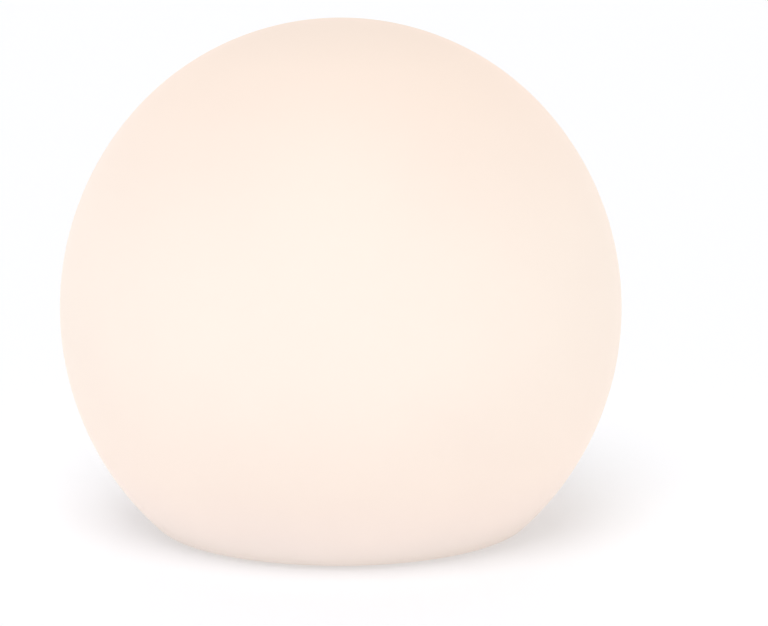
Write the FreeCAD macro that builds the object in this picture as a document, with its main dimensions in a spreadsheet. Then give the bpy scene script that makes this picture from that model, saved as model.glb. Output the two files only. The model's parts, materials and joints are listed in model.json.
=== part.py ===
"""Garden globe light: a moulded opal globe with a flattened base, and a sealed, rechargeable light module
that is screwed into the recess underneath.

The frame has +Z up and its origin at the bottom centre, on the floor that the foot pads stand on. The
charging port lies towards +X. All sizes are millimetres.
"""

import FreeCAD, Part
import math
import os

import Sketcher
from FreeCAD import Placement, Vector

# Driving sizes. Each is written once, here, and every sub-part reads it from the sheet.
SIZES = {
    # globe shell
    "globe_radius": 150,  # at the equator
    "crown_rise": 5,  # by which the crown stands higher than half a ball would
    "crown_tuck": 3,  # by which the crown's arc is smaller; the side's arc runs tangent to it
    "shell_wall": 3,
    "corner_radius": 7,  # where the side turns into the flat
    "recess_depth": 11,
    "recess_round": 2,
    "ledge_width": 14,  # the step that the light module is screwed against
    "bolt_inset": 7,  # from the mouth out to the screws
    "bolt_count": 6,
    "boss_radius": 6,
    "boss_roof": 2,  # above the thread insert
    # foot pads
    "foot_count": 4,
    "foot_land": 7.7,  # from the recess out to a pad
    "foot_margin": 13.8,  # from a pad out to where the flat meets the side
    "foot_radius": 6,
    "foot_thickness": 1.5,
    "foot_proud": 0.8,
    "foot_clearance": 0.3,
    "foot_round": 0.4,
    # thread inserts and the M4 screws and washers that hold the base plate
    "insert_radius": 3.1,
    "insert_length": 7,
    "insert_clearance": 0.05,
    "thread_clearance": 0.05,
    "m4_radius": 2,
    "m4_length": 12,
    "m4_head_radius": 4,
    "m4_head_height": 2.9,
    "m4_hole_clearance": 0.3,
    "washer_radius": 4.5,
    "washer_thickness": 0.8,
    "washer_clearance": 0.15,
    # M3 and M2.5 screws inside
    "m3_radius": 1.5,
    "m3_head_radius": 2.75,
    "m3_head_height": 2,
    "m3_hole_clearance": 0.2,
    "m25_radius": 1.25,
    "m25_head_radius": 2.2,
    "m25_head_height": 1.6,
    "m25_hole_clearance": 0.2,
    "screw_round": 0.25,  # of the head's radius
    "slot_reach": 0.45,  # of the head's radius, centre to tip
    "slot_width": 0.8,
    "slot_depth": 1.1,
    "head_round": 0.7,  # other small round parts
    # base plate and its gasket
    "gasket_thickness": 1.5,
    "gasket_margin": 0.5,
    "plate_thickness": 3.5,
    "plate_gap": 2,  # to the recess wall
    "plate_round": 0.8,
    "rib_count": 24,  # grip ribs round the underside
    "rib_width": 1.2,
    "rib_height": 0.5,
    "rib_gap": 5.5,  # from the housing screws out to the ribs
    "rib_length": 8,
    # housing can on the base plate's spigot
    "housing_wall": 2.2,
    "roof_thickness": 2.5,
    "spigot_wall": 3,
    "spigot_height": 6,
    "spigot_clearance": 0.3,
    "seal_height": 2,  # up to the O-ring groove
    "seal_depth": 1.5,
    "seal_side_gap": 0.2,
    "seal_clearance": 0.01,
    "column_inset": 6.3,  # from the can's bore in to the screws
    "column_radius": 4,
    "column_clearance": 0.3,
    "column_rib": 3,
    "column_angle": 45,
    "column_count": 4,
    "housing_screw_length": 14,
    "housing_screw_sink": 2.4,
    "sink_clearance": 0.45,
    "pilot_extra": 1.8,  # beyond the screw's tip
    # power button, its spring, seal and clip
    "button_radius": 7.5,
    "button_height": 3.7,
    "button_proud": 1.2,
    "button_travel": 1.5,
    "button_clearance": 0.3,
    "button_dish": 0.5,
    "button_round": 0.8,
    "mark_radius": 2.6,  # standby mark
    "mark_width": 0.6,
    "mark_depth": 0.3,
    "tower_wall": 2.2,
    "guide_length": 4,
    "stem_radius": 2.5,
    "stem_clearance": 0.1,
    "stem_end": 0.85,
    "stem_groove": 0.85,
    "stem_seal_side_gap": 0.35,
    "stem_seal_rise": 0.45,
    "stem_seal_clearance": 0.05,
    "spring_length": 5.5,
    "spring_sink": 1.3,
    "spring_radius": 4.6,
    "spring_wire": 0.6,
    "spring_turns": 4,
    "spring_clearance": 0.3,
    "clip_radius": 4.3,
    "clip_thickness": 0.6,
    "clip_gap": 0.05,
    "clip_slot": 3,
    # push switch on the driver board
    "switch_side": 7,
    "switch_height": 8,
    "plunger_side": 3,
    "plunger_free": 2.5,
    "plunger_inside": 4,
    "plunger_clearance": 0.1,
    "plunger_rest": 0.3,  # left above it when it is pressed
    "switch_round": 0.5,
    # driver board
    "board_length": 50,
    "board_width": 40,
    "board_thickness": 1.6,
    "board_shift": 7,  # away from the charging port
    "board_corner": 2,
    "post_inset": 4,
    "post_radius": 3,
    "board_screw_length": 6,
    "part_gap": 2,  # from the tallest part on the board up to the bracket
    # what is soldered on it; insets are from the board's edges to a part's middle
    "chip_inset": 20,
    "chip_spread": 8,
    "chip_length": 8.6,
    "chip_width": 3.9,
    "chip_height": 1.5,
    "chip_pin": 0.4,
    "chip_pitch": 1.27,
    "chip_pins": 7,
    "pin_reach": 1.1,
    "coil_inset": 10,
    "coil_side": 10,
    "coil_height": 4,
    "coil_core_radius": 3.8,
    "coil_core_height": 1,
    "capacitor_inset": 8,
    "capacitor_radius": 4,
    "capacitor_height": 10,
    "capacitor_base": 1,
    "capacitor_base_margin": 0.15,
    "battery_plug_gap": 3,  # from the chips
    "battery_plug_edge": 8,
    "light_plug_inset": 19,
    "light_plug_edge": 4.5,
    "jack_plug_inset": 7,
    "jack_plug_edge": 16,
    "plug_width": 7.4,
    "plug_depth": 5.8,
    "plug_height": 7,
    "plug_wall": 0.8,
    "plug_floor": 2,
    "status_side": 2,
    "status_height": 1,
    # light pipe for the charging lamp
    "pipe_place": 24,
    "pipe_radius": 2,
    "pipe_clearance": 0.05,
    "pipe_flange": 3,
    "pipe_flange_height": 1.2,
    "pipe_gap": 0.3,
    # charging port
    "jack_place": 30,
    "pocket_radius": 6.3,
    "pocket_depth": 3.4,
    "jack_web": 3.8,
    "jack_boss_radius": 9,
    "nose_radius": 4,
    "nose_clearance": 0.1,
    "nut_flats": 10,
    "nut_thickness": 1.8,
    "jack_bore": 3,
    "jack_bore_depth": 10,
    "jack_radius": 5.8,
    "jack_shoulder_radius": 7.5,
    "jack_shoulder": 1.5,
    "jack_height": 12,
    "jack_seal_thickness": 1,
    "lug_width": 2.4,
    "lug_thickness": 0.6,
    "lug_length": 3,
    "lug_spread": 3,
    "pin_radius": 1,
    "pin_sink": 0.5,
    "pin_root": 1.6,
    "pin_clearance": 0.02,
    # rubber port cap, hinged on its tether
    "cap_radius": 8,
    "cap_thickness": 1.8,
    "cap_gap": 0.3,
    "cap_lip_clearance": 0.4,
    "cap_lip_wall": 1.2,
    "cap_lip_height": 1.1,
    "cap_plug_root": 2.7,
    "cap_plug_tip": 2.45,
    "cap_plug_bore": 1.6,
    "cap_plug_height": 3.3,
    "strap_width": 5,
    "strap_thickness": 1.2,
    "hinge_reach": 12,  # port axis to hinge axis
    "hinge_gap": 0.3,
    "tab_length": 4,
    "tab_width": 6,
    "anchor_reach": 17,
    "anchor_radius": 3,
    "anchor_stem": 1.4,
    "anchor_barb": 2,
    "anchor_barb_height": 1.4,
    "anchor_clearance": 0.05,
    "anchor_barb_gap": 0.05,
    # battery pack
    "cell_radius": 9.15,
    "cell_length": 65,
    "cell_gap": 0.4,
    "cell_cap_radius": 2.8,
    "cell_cap_height": 1.2,
    "cell_edge": 0.8,
    "sleeve_wall": 0.3,
    "sleeve_clearance": 0.05,
    "strip_thickness": 0.3,
    "strip_width": 6,
    "pack_clearance": 0.2,
    "bracket_wall": 2,
    "bracket_width": 18,
    "bracket_foot": 8.35,
    "bracket_foot_thickness": 2.5,
    "bracket_screw_gap": 4.3,  # from the bracket's arm out to its screw
    "bracket_boss_height": 8,
    "bracket_screw_length": 8,
    "roof_boss_radius": 3.3,
    "battery_pad_thickness": 2,
    "battery_pad_length": 50,
    "battery_pad_width": 22,
    # diffuser dome, its gasket and the bayonet ring that holds it
    "dome_gap": 1.9,  # from the grommet out to the dome
    "dome_wall": 2,
    "dome_skirt": 5,
    "dome_flange": 2.5,
    "dome_flange_width": 4.7,
    "dome_flange_clearance": 0.5,
    "dome_gasket_thickness": 1.2,
    "rim_wall": 1.8,
    "rim_drop": 0.3,  # rim below the dome's flange face
    "lug_count": 4,
    "bayonet_height": 1.6,
    "bayonet_thickness": 2,
    "bayonet_width": 11,
    "bayonet_drop": 6,
    "ring_clearance": 0.2,
    "ring_foot_gap": 0.05,
    "ring_wall": 1.6,
    "ring_lip": 2.5,
    "ring_foot": 1.35,
    "ring_slot_clearance": 1,
    "ring_grips": 24,
    "ring_grip_radius": 1,
    "ring_grip_depth": 0.6,
    "mouth_clearance": 1.6,
    # heat spreader and light board
    "light_board_radius": 22,
    "spreader_screw_gap": 1.25,  # from the light board out to the heads of the spreader's screws
    "spreader_margin": 4,  # from those screws out to the spreader's edge
    "spreader_thickness": 4,
    "spreader_screw_length": 7,
    "spreader_boss_height": 2.5,
    "light_screw_margin": 3.2,
    "light_screw_length": 5,
    "light_screw_count": 3,
    "light_screw_angle": 20,
    "light_thread_extra": 0.05,
    "light_side": 3.5,
    "light_height": 0.8,
    "light_lens_radius": 1.4,
    "light_lens_height": 0.4,
    "light_ring_gap": 3.3,  # from the light board's screws in to the ring of chips
    "light_count": 9,
    "inner_light_circle": 7,
    "inner_light_count": 3,
    "receiver_width": 5,
    "receiver_depth": 4,
    "receiver_height": 5,
    "receiver_lens_radius": 1.6,
    "receiver_lens_height": 0.8,
    "receiver_lens_round": 0.4,
    # wires
    "wire_radius": 0.65,
    "wire_clearance": 0.05,
    "wire_spread": 1.0,  # half the distance between a pair
    "wire_share": 0.45,  # of the shorter run beside a bend, taken by the bend
    "wire_rise": 4,  # of a lead out of its connector, before it turns
    "strip_lead": 4.5,  # of a battery lead out of its strip, before it turns
    "board_lead_margin": 2,  # from the light board's edge in to its solder points
    "grommet_gap": 0.4,  # to the heat spreader
    "grommet_radius": 2.4,
    "grommet_flange": 3.1,
    "grommet_flange_height": 1,
}

# Heights and radii that follow from the driving sizes.
DERIVED = {
    # radii and distances from the axis, from the light board outwards
    "light_screw_circle": "dims.light_board_radius - dims.light_screw_margin",
    "light_circle": "at.light_screw_circle - dims.light_ring_gap",
    "spreader_screw_circle": "dims.light_board_radius + dims.spreader_screw_gap + dims.m3_head_radius",
    "spreader_radius": "at.spreader_screw_circle + dims.spreader_margin",
    "grommet_place": "at.spreader_radius + dims.grommet_gap + dims.grommet_flange",
    "dome_radius": "at.grommet_place + dims.grommet_flange + dims.dome_gap + dims.dome_wall",
    "rim_bore": "at.dome_radius + dims.dome_flange_width",
    "housing_radius": "at.rim_bore + dims.rim_wall",
    "can_bore": "at.housing_radius - dims.housing_wall",
    "column_circle": "at.can_bore - dims.column_inset",
    "spigot_radius": "at.can_bore - dims.spigot_clearance",
    "seal_width": "dims.spigot_clearance + dims.seal_depth + dims.seal_side_gap",
    "lug_corner": "sqrt((at.housing_radius + dims.bayonet_height)^2 + (dims.bayonet_width / 2)^2)",
    "ring_bore": "at.lug_corner + dims.ring_clearance",
    "ring_outside": "at.ring_bore + dims.ring_wall",
    "mouth_radius": "at.ring_outside + dims.mouth_clearance",
    "bolt_circle": "at.mouth_radius + dims.bolt_inset",
    "recess_radius": "at.mouth_radius + dims.ledge_width",
    "plate_radius": "at.recess_radius - dims.plate_gap",
    "foot_circle": "at.recess_radius + dims.foot_land + dims.foot_radius",
    "flat_radius": "at.foot_circle + dims.foot_radius + dims.foot_margin",
    # the globe's arcs
    "crown_radius": "dims.globe_radius - dims.crown_tuck",
    "crown_drop": "dims.crown_rise + dims.crown_tuck",
    "side_radius": "(dims.globe_radius^2 + at.crown_drop^2 - at.crown_radius^2) / (2 * dims.crown_tuck)",
    "side_centre": "dims.globe_radius - at.side_radius",
    "flat_drop": "sqrt(at.side_radius^2 - (at.flat_radius - at.side_centre)^2)",
    # heights from the floor
    "flat_z": "dims.foot_proud",
    "equator_z": "at.flat_z + at.flat_drop",
    "crown_z": "at.equator_z + dims.globe_radius + dims.crown_rise",
    "ledge_z": "at.flat_z + dims.recess_depth",
    "plate_top": "at.ledge_z - dims.gasket_thickness",
    "plate_under": "at.plate_top - dims.plate_thickness",
    "button_face": "at.plate_under - dims.button_proud",
    "button_back": "at.button_face + dims.button_height",
    "spring_foot": "at.button_back - dims.spring_sink",
    "tower_roof": "at.spring_foot + dims.spring_length",
    "tower_top": "at.tower_roof + dims.guide_length",
    "clip_z": "at.tower_top + dims.clip_gap",
    "stem_top": "at.clip_z + dims.clip_thickness + dims.stem_end",
    "switch_z": "at.stem_top + dims.plunger_free",
    "board_under": "at.switch_z + dims.switch_height",
    "board_top": "at.board_under + dims.board_thickness",
    "spigot_top": "at.plate_top + dims.spigot_height",
    "column_z": "at.spigot_top + dims.column_clearance",
    "bracket_z": "at.board_top + dims.capacitor_height + dims.part_gap",
    "cell_shell": "dims.cell_radius + dims.sleeve_clearance + dims.sleeve_wall",
    "cell_z": "at.bracket_z + dims.bracket_wall + dims.pack_clearance + at.cell_shell",
    "pad_z": "at.cell_z + at.cell_shell + dims.sleeve_clearance",
    "roof_z": "at.pad_z + dims.battery_pad_thickness",
    "roof_top": "at.roof_z + dims.roof_thickness",
    "dome_z": "at.roof_top + dims.dome_gasket_thickness",
    "dome_flange_top": "at.dome_z + dims.dome_flange",
    "dome_centre": "at.dome_z + dims.dome_skirt",
    "ring_top": "at.dome_flange_top + dims.ring_lip",
    "bayonet_z": "at.roof_top - dims.bayonet_drop",
    "ring_foot_top": "at.bayonet_z - dims.ring_foot_gap",
    "spreader_top": "at.roof_top + dims.spreader_thickness",
    "light_board_top": "at.spreader_top + dims.board_thickness",
    "port_floor": "at.plate_under + dims.pocket_depth",
    "port_mouth": "at.port_floor - dims.nut_thickness",
    "jack_seat": "at.port_floor + dims.jack_web",
    "jack_z": "at.jack_seat + dims.jack_seal_thickness",
    "cap_back": "at.plate_under - dims.cap_gap",
    "cap_face": "at.cap_back - dims.cap_thickness",
    "hinge_z": "at.cap_back - dims.strap_thickness / 2",
    # sizes that several pieces share
    "stem_bore": "dims.stem_radius + dims.stem_clearance",
    "stem_groove_radius": "dims.stem_radius - dims.stem_groove",
    "stem_seal_width": "dims.stem_clearance + dims.stem_groove + dims.stem_seal_side_gap",
    "button_pocket": "dims.button_radius + dims.button_clearance",
    "tower_radius": "at.button_pocket + dims.tower_wall",
    "board_left": "-dims.board_shift - dims.board_length / 2",
    "board_right": "-dims.board_shift + dims.board_length / 2",
    "board_side": "dims.board_width / 2",
    "post_x": "dims.board_length / 2 - dims.post_inset",
    "chip_x": "at.board_left + dims.chip_inset",
    "battery_plug_x": "at.chip_x + dims.chip_length / 2 + dims.battery_plug_gap + dims.plug_width / 2",
    "post_y": "at.board_side - dims.post_inset",
    "cell_pitch": "2 * dims.cell_radius + dims.cell_gap",
    "pack_half": "at.cell_pitch / 2 + at.cell_shell",
    "bracket_inner": "at.pack_half + dims.pack_clearance",
    "bracket_outer": "at.bracket_inner + dims.bracket_wall",
    "bracket_screw_place": "at.bracket_outer + dims.bracket_screw_gap",
    "cap_lip": "dims.pocket_radius - dims.cap_lip_clearance",
}

doc = FreeCAD.newDocument("garden_globe_light")
sheet = doc.addObject("Spreadsheet::Sheet", "dims")
for row, (alias, number) in enumerate(SIZES.items(), start=1):
    sheet.set(f"A{row}", alias)
    sheet.set(f"B{row}", str(number))
    sheet.setAlias(f"B{row}", alias)
doc.recompute()
at = doc.addObject("App::VarSet", "at")
for name, expression in DERIVED.items():
    at.addProperty("App::PropertyFloat", name)
    at.setExpression(name, expression)
doc.recompute()

SUBPARTS = []


PROBE = doc.addObject("App::VarSet", "probe")
PROBE.addProperty("App::PropertyFloat", "result")
NUMBERS = {}


def number(expression):
    """The number that an expression of the sheet's sizes comes to."""
    if expression not in NUMBERS:
        PROBE.setExpression("result", expression)
        PROBE.recompute()
        NUMBERS[expression] = PROBE.result
    return NUMBERS[expression]


# ---- how bodies, sketches and features are made ----


def new_body(label, turn=None):
    """An empty body, which becomes the node of that name. turn is its angle about the globe's axis."""
    body = doc.addObject("PartDesign::Body", label)
    body.Label = label
    body.AllowCompound = True
    if turn:
        body.setExpression(".Placement.Rotation.Angle", turn)
    SUBPARTS.append(body)
    return body


def origin_part(body, role):
    return next(part for part in body.Origin.OriginFeatures if part.Role == role)


def new_sketch(body, plane, x="0", y="0", z="0"):
    """A sketch on one of the body's own planes, moved by x and y in that plane and by z along its normal."""
    sketch = body.newObject("Sketcher::SketchObject", body.Name + "_sketch")
    sketch.AttachmentSupport = [(origin_part(body, plane), "")]
    sketch.MapMode = "FlatFace"
    for axis, expression in (("x", x), ("y", y), ("z", z)):
        if expression != "0":
            sketch.setExpression(f".AttachmentOffset.Base.{axis}", expression)
    return sketch


def bind(sketch, constraint, expression):
    """Adds a constraint and binds it to an expression of the sheet's sizes."""
    index = sketch.addConstraint(constraint)
    name = f"size{index}"
    sketch.renameConstraint(index, name)
    sketch.setExpression(f"Constraints.{name}", expression)


def fix_point(sketch, edge, end, x, y):
    """Holds a point of the sketch at x, y from its origin."""
    for kind, axis, expression in (("DistanceX", -2, x), ("DistanceY", -1, y)):
        if expression == "0":
            sketch.addConstraint(Sketcher.Constraint("PointOnObject", edge, end, axis))
        else:
            bind(sketch, Sketcher.Constraint(kind, -1, 1, edge, end, number(expression)), expression)


def draw_circle(sketch, radius, x="0", y="0"):
    centre = Vector(number(x), number(y), 0)
    edge = sketch.addGeometry(Part.Circle(centre, Vector(0, 0, 1), number(radius)), False)
    bind(sketch, Sketcher.Constraint("Radius", edge, number(radius)), radius)
    fix_point(sketch, edge, 3, x, y)


def draw_outline(sketch, corners, arcs=None):
    """A closed outline through the corners, pairs of expressions. arcs gives, for the edge that leaves a
    corner, its radius and its centre's side: 1 for the left of the way round, -1 for the right."""
    arcs = arcs or {}
    points = [Vector(number(x), number(y), 0) for x, y in corners]
    ends = []
    for i, start in enumerate(points):
        finish = points[(i + 1) % len(points)]
        if i not in arcs:
            edge = sketch.addGeometry(Part.LineSegment(start, finish), False)
            ends.append((edge, 1, 2))
            continue
        radius, side = arcs[i]
        chord = finish - start
        left = Vector(-chord.y, chord.x, 0).normalize()
        rise = math.sqrt(max(number(radius) ** 2 - (chord.Length / 2) ** 2, 0))
        centre = (start + finish) * 0.5 + left * (rise * side)
        angles = [math.atan2(p.y - centre.y, p.x - centre.x) for p in (start, finish)]
        circle = Part.Circle(centre, Vector(0, 0, 1), number(radius))
        if side > 0:
            edge = sketch.addGeometry(Part.ArcOfCircle(circle, *angles), False)
            ends.append((edge, 1, 2))
        else:
            edge = sketch.addGeometry(Part.ArcOfCircle(circle, *reversed(angles)), False)
            ends.append((edge, 2, 1))
    for i, (edge, start, _) in enumerate(ends):
        before, _, finish = ends[i - 1]
        sketch.addConstraint(Sketcher.Constraint("Coincident", before, finish, edge, start))
        fix_point(sketch, edge, start, *corners[i])
    for i, (radius, _) in arcs.items():
        after = (i + 1) % len(points)
        if (points[after] - points[i]).Length < 1.999 * number(radius):
            bind(sketch, Sketcher.Constraint("Radius", ends[i][0], number(radius)), radius)
        else:  # a half circle, held by its centre
            middle = f"({corners[i][0]} + {corners[after][0]}) / 2"
            bind(sketch, Sketcher.Constraint("DistanceX", -1, 1, ends[i][0], 3, number(middle)), middle)


def draw_rectangle(sketch, width, height, x="0", y="0"):
    """A rectangle of that width and height, centred on x, y."""
    sides = ((-1, -1), (1, -1), (1, 1), (-1, 1))
    corners = [(f"{x} + {i} * ({width}) / 2", f"{y} + {j} * ({height}) / 2") for i, j in sides]
    draw_outline(sketch, corners)


def draw_polygon(sketch, sides, radius, x="0", y="0"):
    """A regular polygon whose corners lie at that radius about x, y."""
    turns = [360 * (k + 0.5) / sides for k in range(sides)]
    corners = [(f"{x} + ({radius}) * cos({a:.1f})", f"{y} + ({radius}) * sin({a:.1f})") for a in turns]
    draw_outline(sketch, corners)


def add_feature(body, kind, profile, grows, **bound):
    """Adds a feature, binds its lengths or angles, and checks that it adds or removes material."""
    before = body.Shape.Volume if body.Tip else 0
    feature = body.newObject("PartDesign::" + kind, f"{body.Name}_{kind.lower()}")
    feature.Profile = profile
    for name, value in bound.items():
        if isinstance(value, str):
            feature.setExpression(name, value)
        else:
            setattr(feature, name, value)
    doc.recompute()
    change = body.Shape.Volume - before
    if not (change > 1e-6 if grows else change < -1e-6):
        raise RuntimeError(f"{feature.Label} in {body.Label} changed the volume by {change:.6f}")
    return feature


def pad(body, sketch, length, down=False):
    return add_feature(body, "Pad", sketch, True, Length=length, Reversed=down)


def pocket(body, sketch, depth, up=False):
    return add_feature(body, "Pocket", sketch, False, Length=depth, Reversed=up)


def revolve(body, sketch):
    """Turns a sketch about its own vertical axis."""
    return add_feature(body, "Revolution", sketch, True, ReferenceAxis=(sketch, ["V_Axis"]), Angle=360.0)


def turned(body, corners, arcs=None):
    """A solid of revolution about the globe's axis from an outline of radius and height."""
    sketch = new_sketch(body, "XZ_Plane")
    draw_outline(sketch, corners, arcs)
    return revolve(body, sketch)


def repeat(body, features, count):
    """Repeats features evenly round the globe's axis."""
    pattern = body.newObject("PartDesign::PolarPattern", body.Name + "_pattern")
    pattern.Originals = features
    pattern.Axis = (origin_part(body, "Z_Axis"), [""])
    pattern.Angle = 360.0
    pattern.setExpression("Occurrences", count)
    body.Tip = pattern
    doc.recompute()
    return pattern


def round_edges(body, radius, wanted):
    """Fillets the edges of the body so far for which wanted(edge) is true."""
    tip = body.Tip
    names = [f"Edge{i}" for i, edge in enumerate(tip.Shape.Edges, start=1) if wanted(edge)]
    if not names:
        raise RuntimeError(f"{body.Label} has no edge to round")
    fillet = body.newObject("PartDesign::Fillet", body.Name + "_fillet")
    fillet.Base = (tip, names)
    fillet.setExpression("Radius", radius)
    doc.recompute()
    return fillet


def is_circle(edge, radius=None, height=None):
    """Whether an edge is a circle of that radius, lying level at that height, where these are given."""
    if edge.Degenerated or not isinstance(edge.Curve, Part.Circle):
        return False
    right_radius = radius is None or abs(edge.Curve.Radius - number(radius)) < 0.001
    middle = edge.Curve.Center.z
    level = abs(abs(edge.Curve.Axis.z) - 1) < 0.001
    return right_radius and (height is None or (level and abs(middle - number(height)) < 0.001))


def is_upright(edge):
    if edge.Degenerated or not isinstance(edge.Curve, Part.Line):
        return False
    return abs(abs(edge.Curve.Direction.z) - 1) < 0.001


def keep_shape(label, shape):
    """A sub-part whose shape is made here from the sheet's sizes."""
    feature = doc.addObject("Part::Feature", label)
    feature.Label = label
    feature.Shape = shape
    feature.Placement = Placement()
    SUBPARTS.append(feature)
    return feature


# ---- fasteners ----


def make_screws(label, places, seat, up, size, length, count=None):
    """Cross-head screws, one at each place. When up is true, the head lies under the seat and the shank goes
    up from there; otherwise the head lies on the seat and the shank goes down. size names the thread."""
    body = new_body(label)
    radius, head_radius, head = (f"dims.{size}_{what}" for what in ("radius", "head_radius", "head_height"))
    head_sketch = new_sketch(body, "XY_Plane", z=seat)
    shank_sketch = new_sketch(body, "XY_Plane", z=seat)
    face = f"{seat} - {head}" if up else f"{seat} + {head}"
    slot = f"2 * dims.slot_reach * {head_radius}"
    slot_sketches = [new_sketch(body, "XY_Plane", z=face) for _ in range(2)]
    for x, y in places:
        draw_circle(head_sketch, head_radius, x, y)
        draw_circle(shank_sketch, radius, x, y)
        draw_rectangle(slot_sketches[0], slot, "dims.slot_width", x, y)
        draw_rectangle(slot_sketches[1], "dims.slot_width", slot, x, y)
    features = [pad(body, head_sketch, head, down=up)]
    features.append(pad(body, shank_sketch, length, down=not up))
    features += [pocket(body, sketch, "dims.slot_depth", up=up) for sketch in slot_sketches]
    if count:
        repeat(body, features, count)
    round_edges(body, f"dims.screw_round * {head_radius}", lambda edge: is_circle(edge, head_radius, face))


def on_circle(circle, angle):
    return (f"at.{circle} * cos(dims.{angle})", f"at.{circle} * sin(dims.{angle})")


BOLT_PLACE = [("at.bolt_circle", "0")]
FOOT_PLACE = [on_circle("foot_circle", "column_angle")]
COLUMN_PLACE = [on_circle("column_circle", "column_angle")]
SPREADER_PLACE = [on_circle("spreader_screw_circle", "column_angle")]
LIGHT_SCREW_PLACE = [on_circle("light_screw_circle", "light_screw_angle")]
BRACKET_PLACES = [("0", "at.bracket_screw_place"), ("0", "-at.bracket_screw_place")]
BOARD_CORNERS = ((1, 1), (-1, 1), (-1, -1), (1, -1))
BOARD_PLACES = [(f"{i} * at.post_x - dims.board_shift", f"{j} * at.post_y") for i, j in BOARD_CORNERS]


# ---- globe shell and what is moulded into or stuck onto it ----


def make_globe_shell():
    """The globe: a crown arc and a side arc on each skin, the flat, the recess and the ledge in it."""
    body = new_body("globe_shell")
    crown = "(at.crown_z - at.crown_radius)"

    def joint(wall):
        """Where the crown's arc meets the side's."""
        share = f"(at.crown_radius - {wall}) / (at.side_radius - at.crown_radius)"
        return f"-{share} * at.side_centre", f"{crown} + {share} * at.crown_drop"

    inner_side = "(at.side_radius - dims.shell_wall)"
    inner_drop = "(at.flat_drop - dims.shell_wall)"
    inner_edge = f"at.side_centre + sqrt({inner_side}^2 - {inner_drop}^2)"
    floor = "at.flat_z + dims.shell_wall"
    turned(
        body,
        [
            ("0", "at.crown_z"),
            ("0", "at.crown_z - dims.shell_wall"),
            joint("dims.shell_wall"),
            (inner_edge, floor),
            ("at.recess_radius + dims.shell_wall", floor),
            ("at.recess_radius + dims.shell_wall", "at.ledge_z + dims.shell_wall"),
            ("at.mouth_radius", "at.ledge_z + dims.shell_wall"),
            ("at.mouth_radius", "at.ledge_z"),
            ("at.recess_radius", "at.ledge_z"),
            ("at.recess_radius", "at.flat_z"),
            ("at.flat_radius", "at.flat_z"),
            joint("0"),
        ],
        {
            1: ("at.crown_radius - dims.shell_wall", -1),
            2: (inner_side, -1),
            10: ("at.side_radius", 1),
            11: ("at.crown_radius", 1),
        },
    )
    boss = new_sketch(body, "XY_Plane", z="at.ledge_z")
    draw_circle(boss, "dims.boss_radius", *BOLT_PLACE[0])
    boss_pad = pad(body, boss, "dims.insert_length + dims.boss_roof")
    hole = new_sketch(body, "XY_Plane", z="at.ledge_z")
    draw_circle(hole, "dims.insert_radius + dims.insert_clearance", *BOLT_PLACE[0])
    boss_hole = pocket(body, hole, "dims.insert_length", up=True)
    repeat(body, [boss_pad, boss_hole], "dims.bolt_count")
    dimple = new_sketch(body, "XY_Plane", z="at.flat_z")
    draw_circle(dimple, "dims.foot_radius + dims.foot_clearance", *FOOT_PLACE[0])
    foot_dimple = pocket(body, dimple, "dims.foot_thickness - dims.foot_proud", up=True)
    repeat(body, [foot_dimple], "dims.foot_count")
    round_edges(body, "dims.corner_radius", lambda edge: is_circle(edge, "at.flat_radius", "at.flat_z"))
    inner_round = "dims.corner_radius - dims.shell_wall"
    round_edges(body, inner_round, lambda edge: is_circle(edge, inner_edge, floor))
    round_edges(body, "dims.recess_round", lambda edge: is_circle(edge, "at.recess_radius", "at.flat_z"))


def make_foot_pads():
    body = new_body("foot_pads")
    sketch = new_sketch(body, "XY_Plane")
    draw_circle(sketch, "dims.foot_radius", *FOOT_PLACE[0])
    repeat(body, [pad(body, sketch, "dims.foot_thickness")], "dims.foot_count")
    round_edges(body, "dims.foot_round", lambda edge: is_circle(edge, "dims.foot_radius", "0"))


def make_thread_inserts():
    body = new_body("thread_inserts")
    outside = new_sketch(body, "XY_Plane", z="at.ledge_z")
    draw_circle(outside, "dims.insert_radius", *BOLT_PLACE[0])
    bore = new_sketch(body, "XY_Plane", z="at.ledge_z")
    draw_circle(bore, "dims.m4_radius + dims.thread_clearance", *BOLT_PLACE[0])
    features = [pad(body, outside, "dims.insert_length")]
    features.append(pocket(body, bore, "dims.insert_length", up=True))
    repeat(body, features, "dims.bolt_count")


def make_base_gasket():
    body = new_body("base_gasket")
    ring = new_sketch(body, "XY_Plane", z="at.plate_top")
    draw_circle(ring, "at.plate_radius - dims.gasket_margin")
    draw_circle(ring, "at.mouth_radius + dims.gasket_margin")
    pad(body, ring, "dims.gasket_thickness")
    hole = new_sketch(body, "XY_Plane", z="at.plate_top")
    draw_circle(hole, "dims.m4_radius + 2 * dims.m4_hole_clearance", *BOLT_PLACE[0])
    repeat(body, [pocket(body, hole, "dims.gasket_thickness", up=True)], "dims.bolt_count")


def make_base_washers():
    body = new_body("base_washers")
    ring = new_sketch(body, "XY_Plane", z="at.plate_under")
    draw_circle(ring, "dims.washer_radius", *BOLT_PLACE[0])
    draw_circle(ring, "dims.m4_radius + dims.washer_clearance", *BOLT_PLACE[0])
    repeat(body, [pad(body, ring, "dims.washer_thickness", down=True)], "dims.bolt_count")


# ---- base plate, housing can and the seals between them ----


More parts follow.
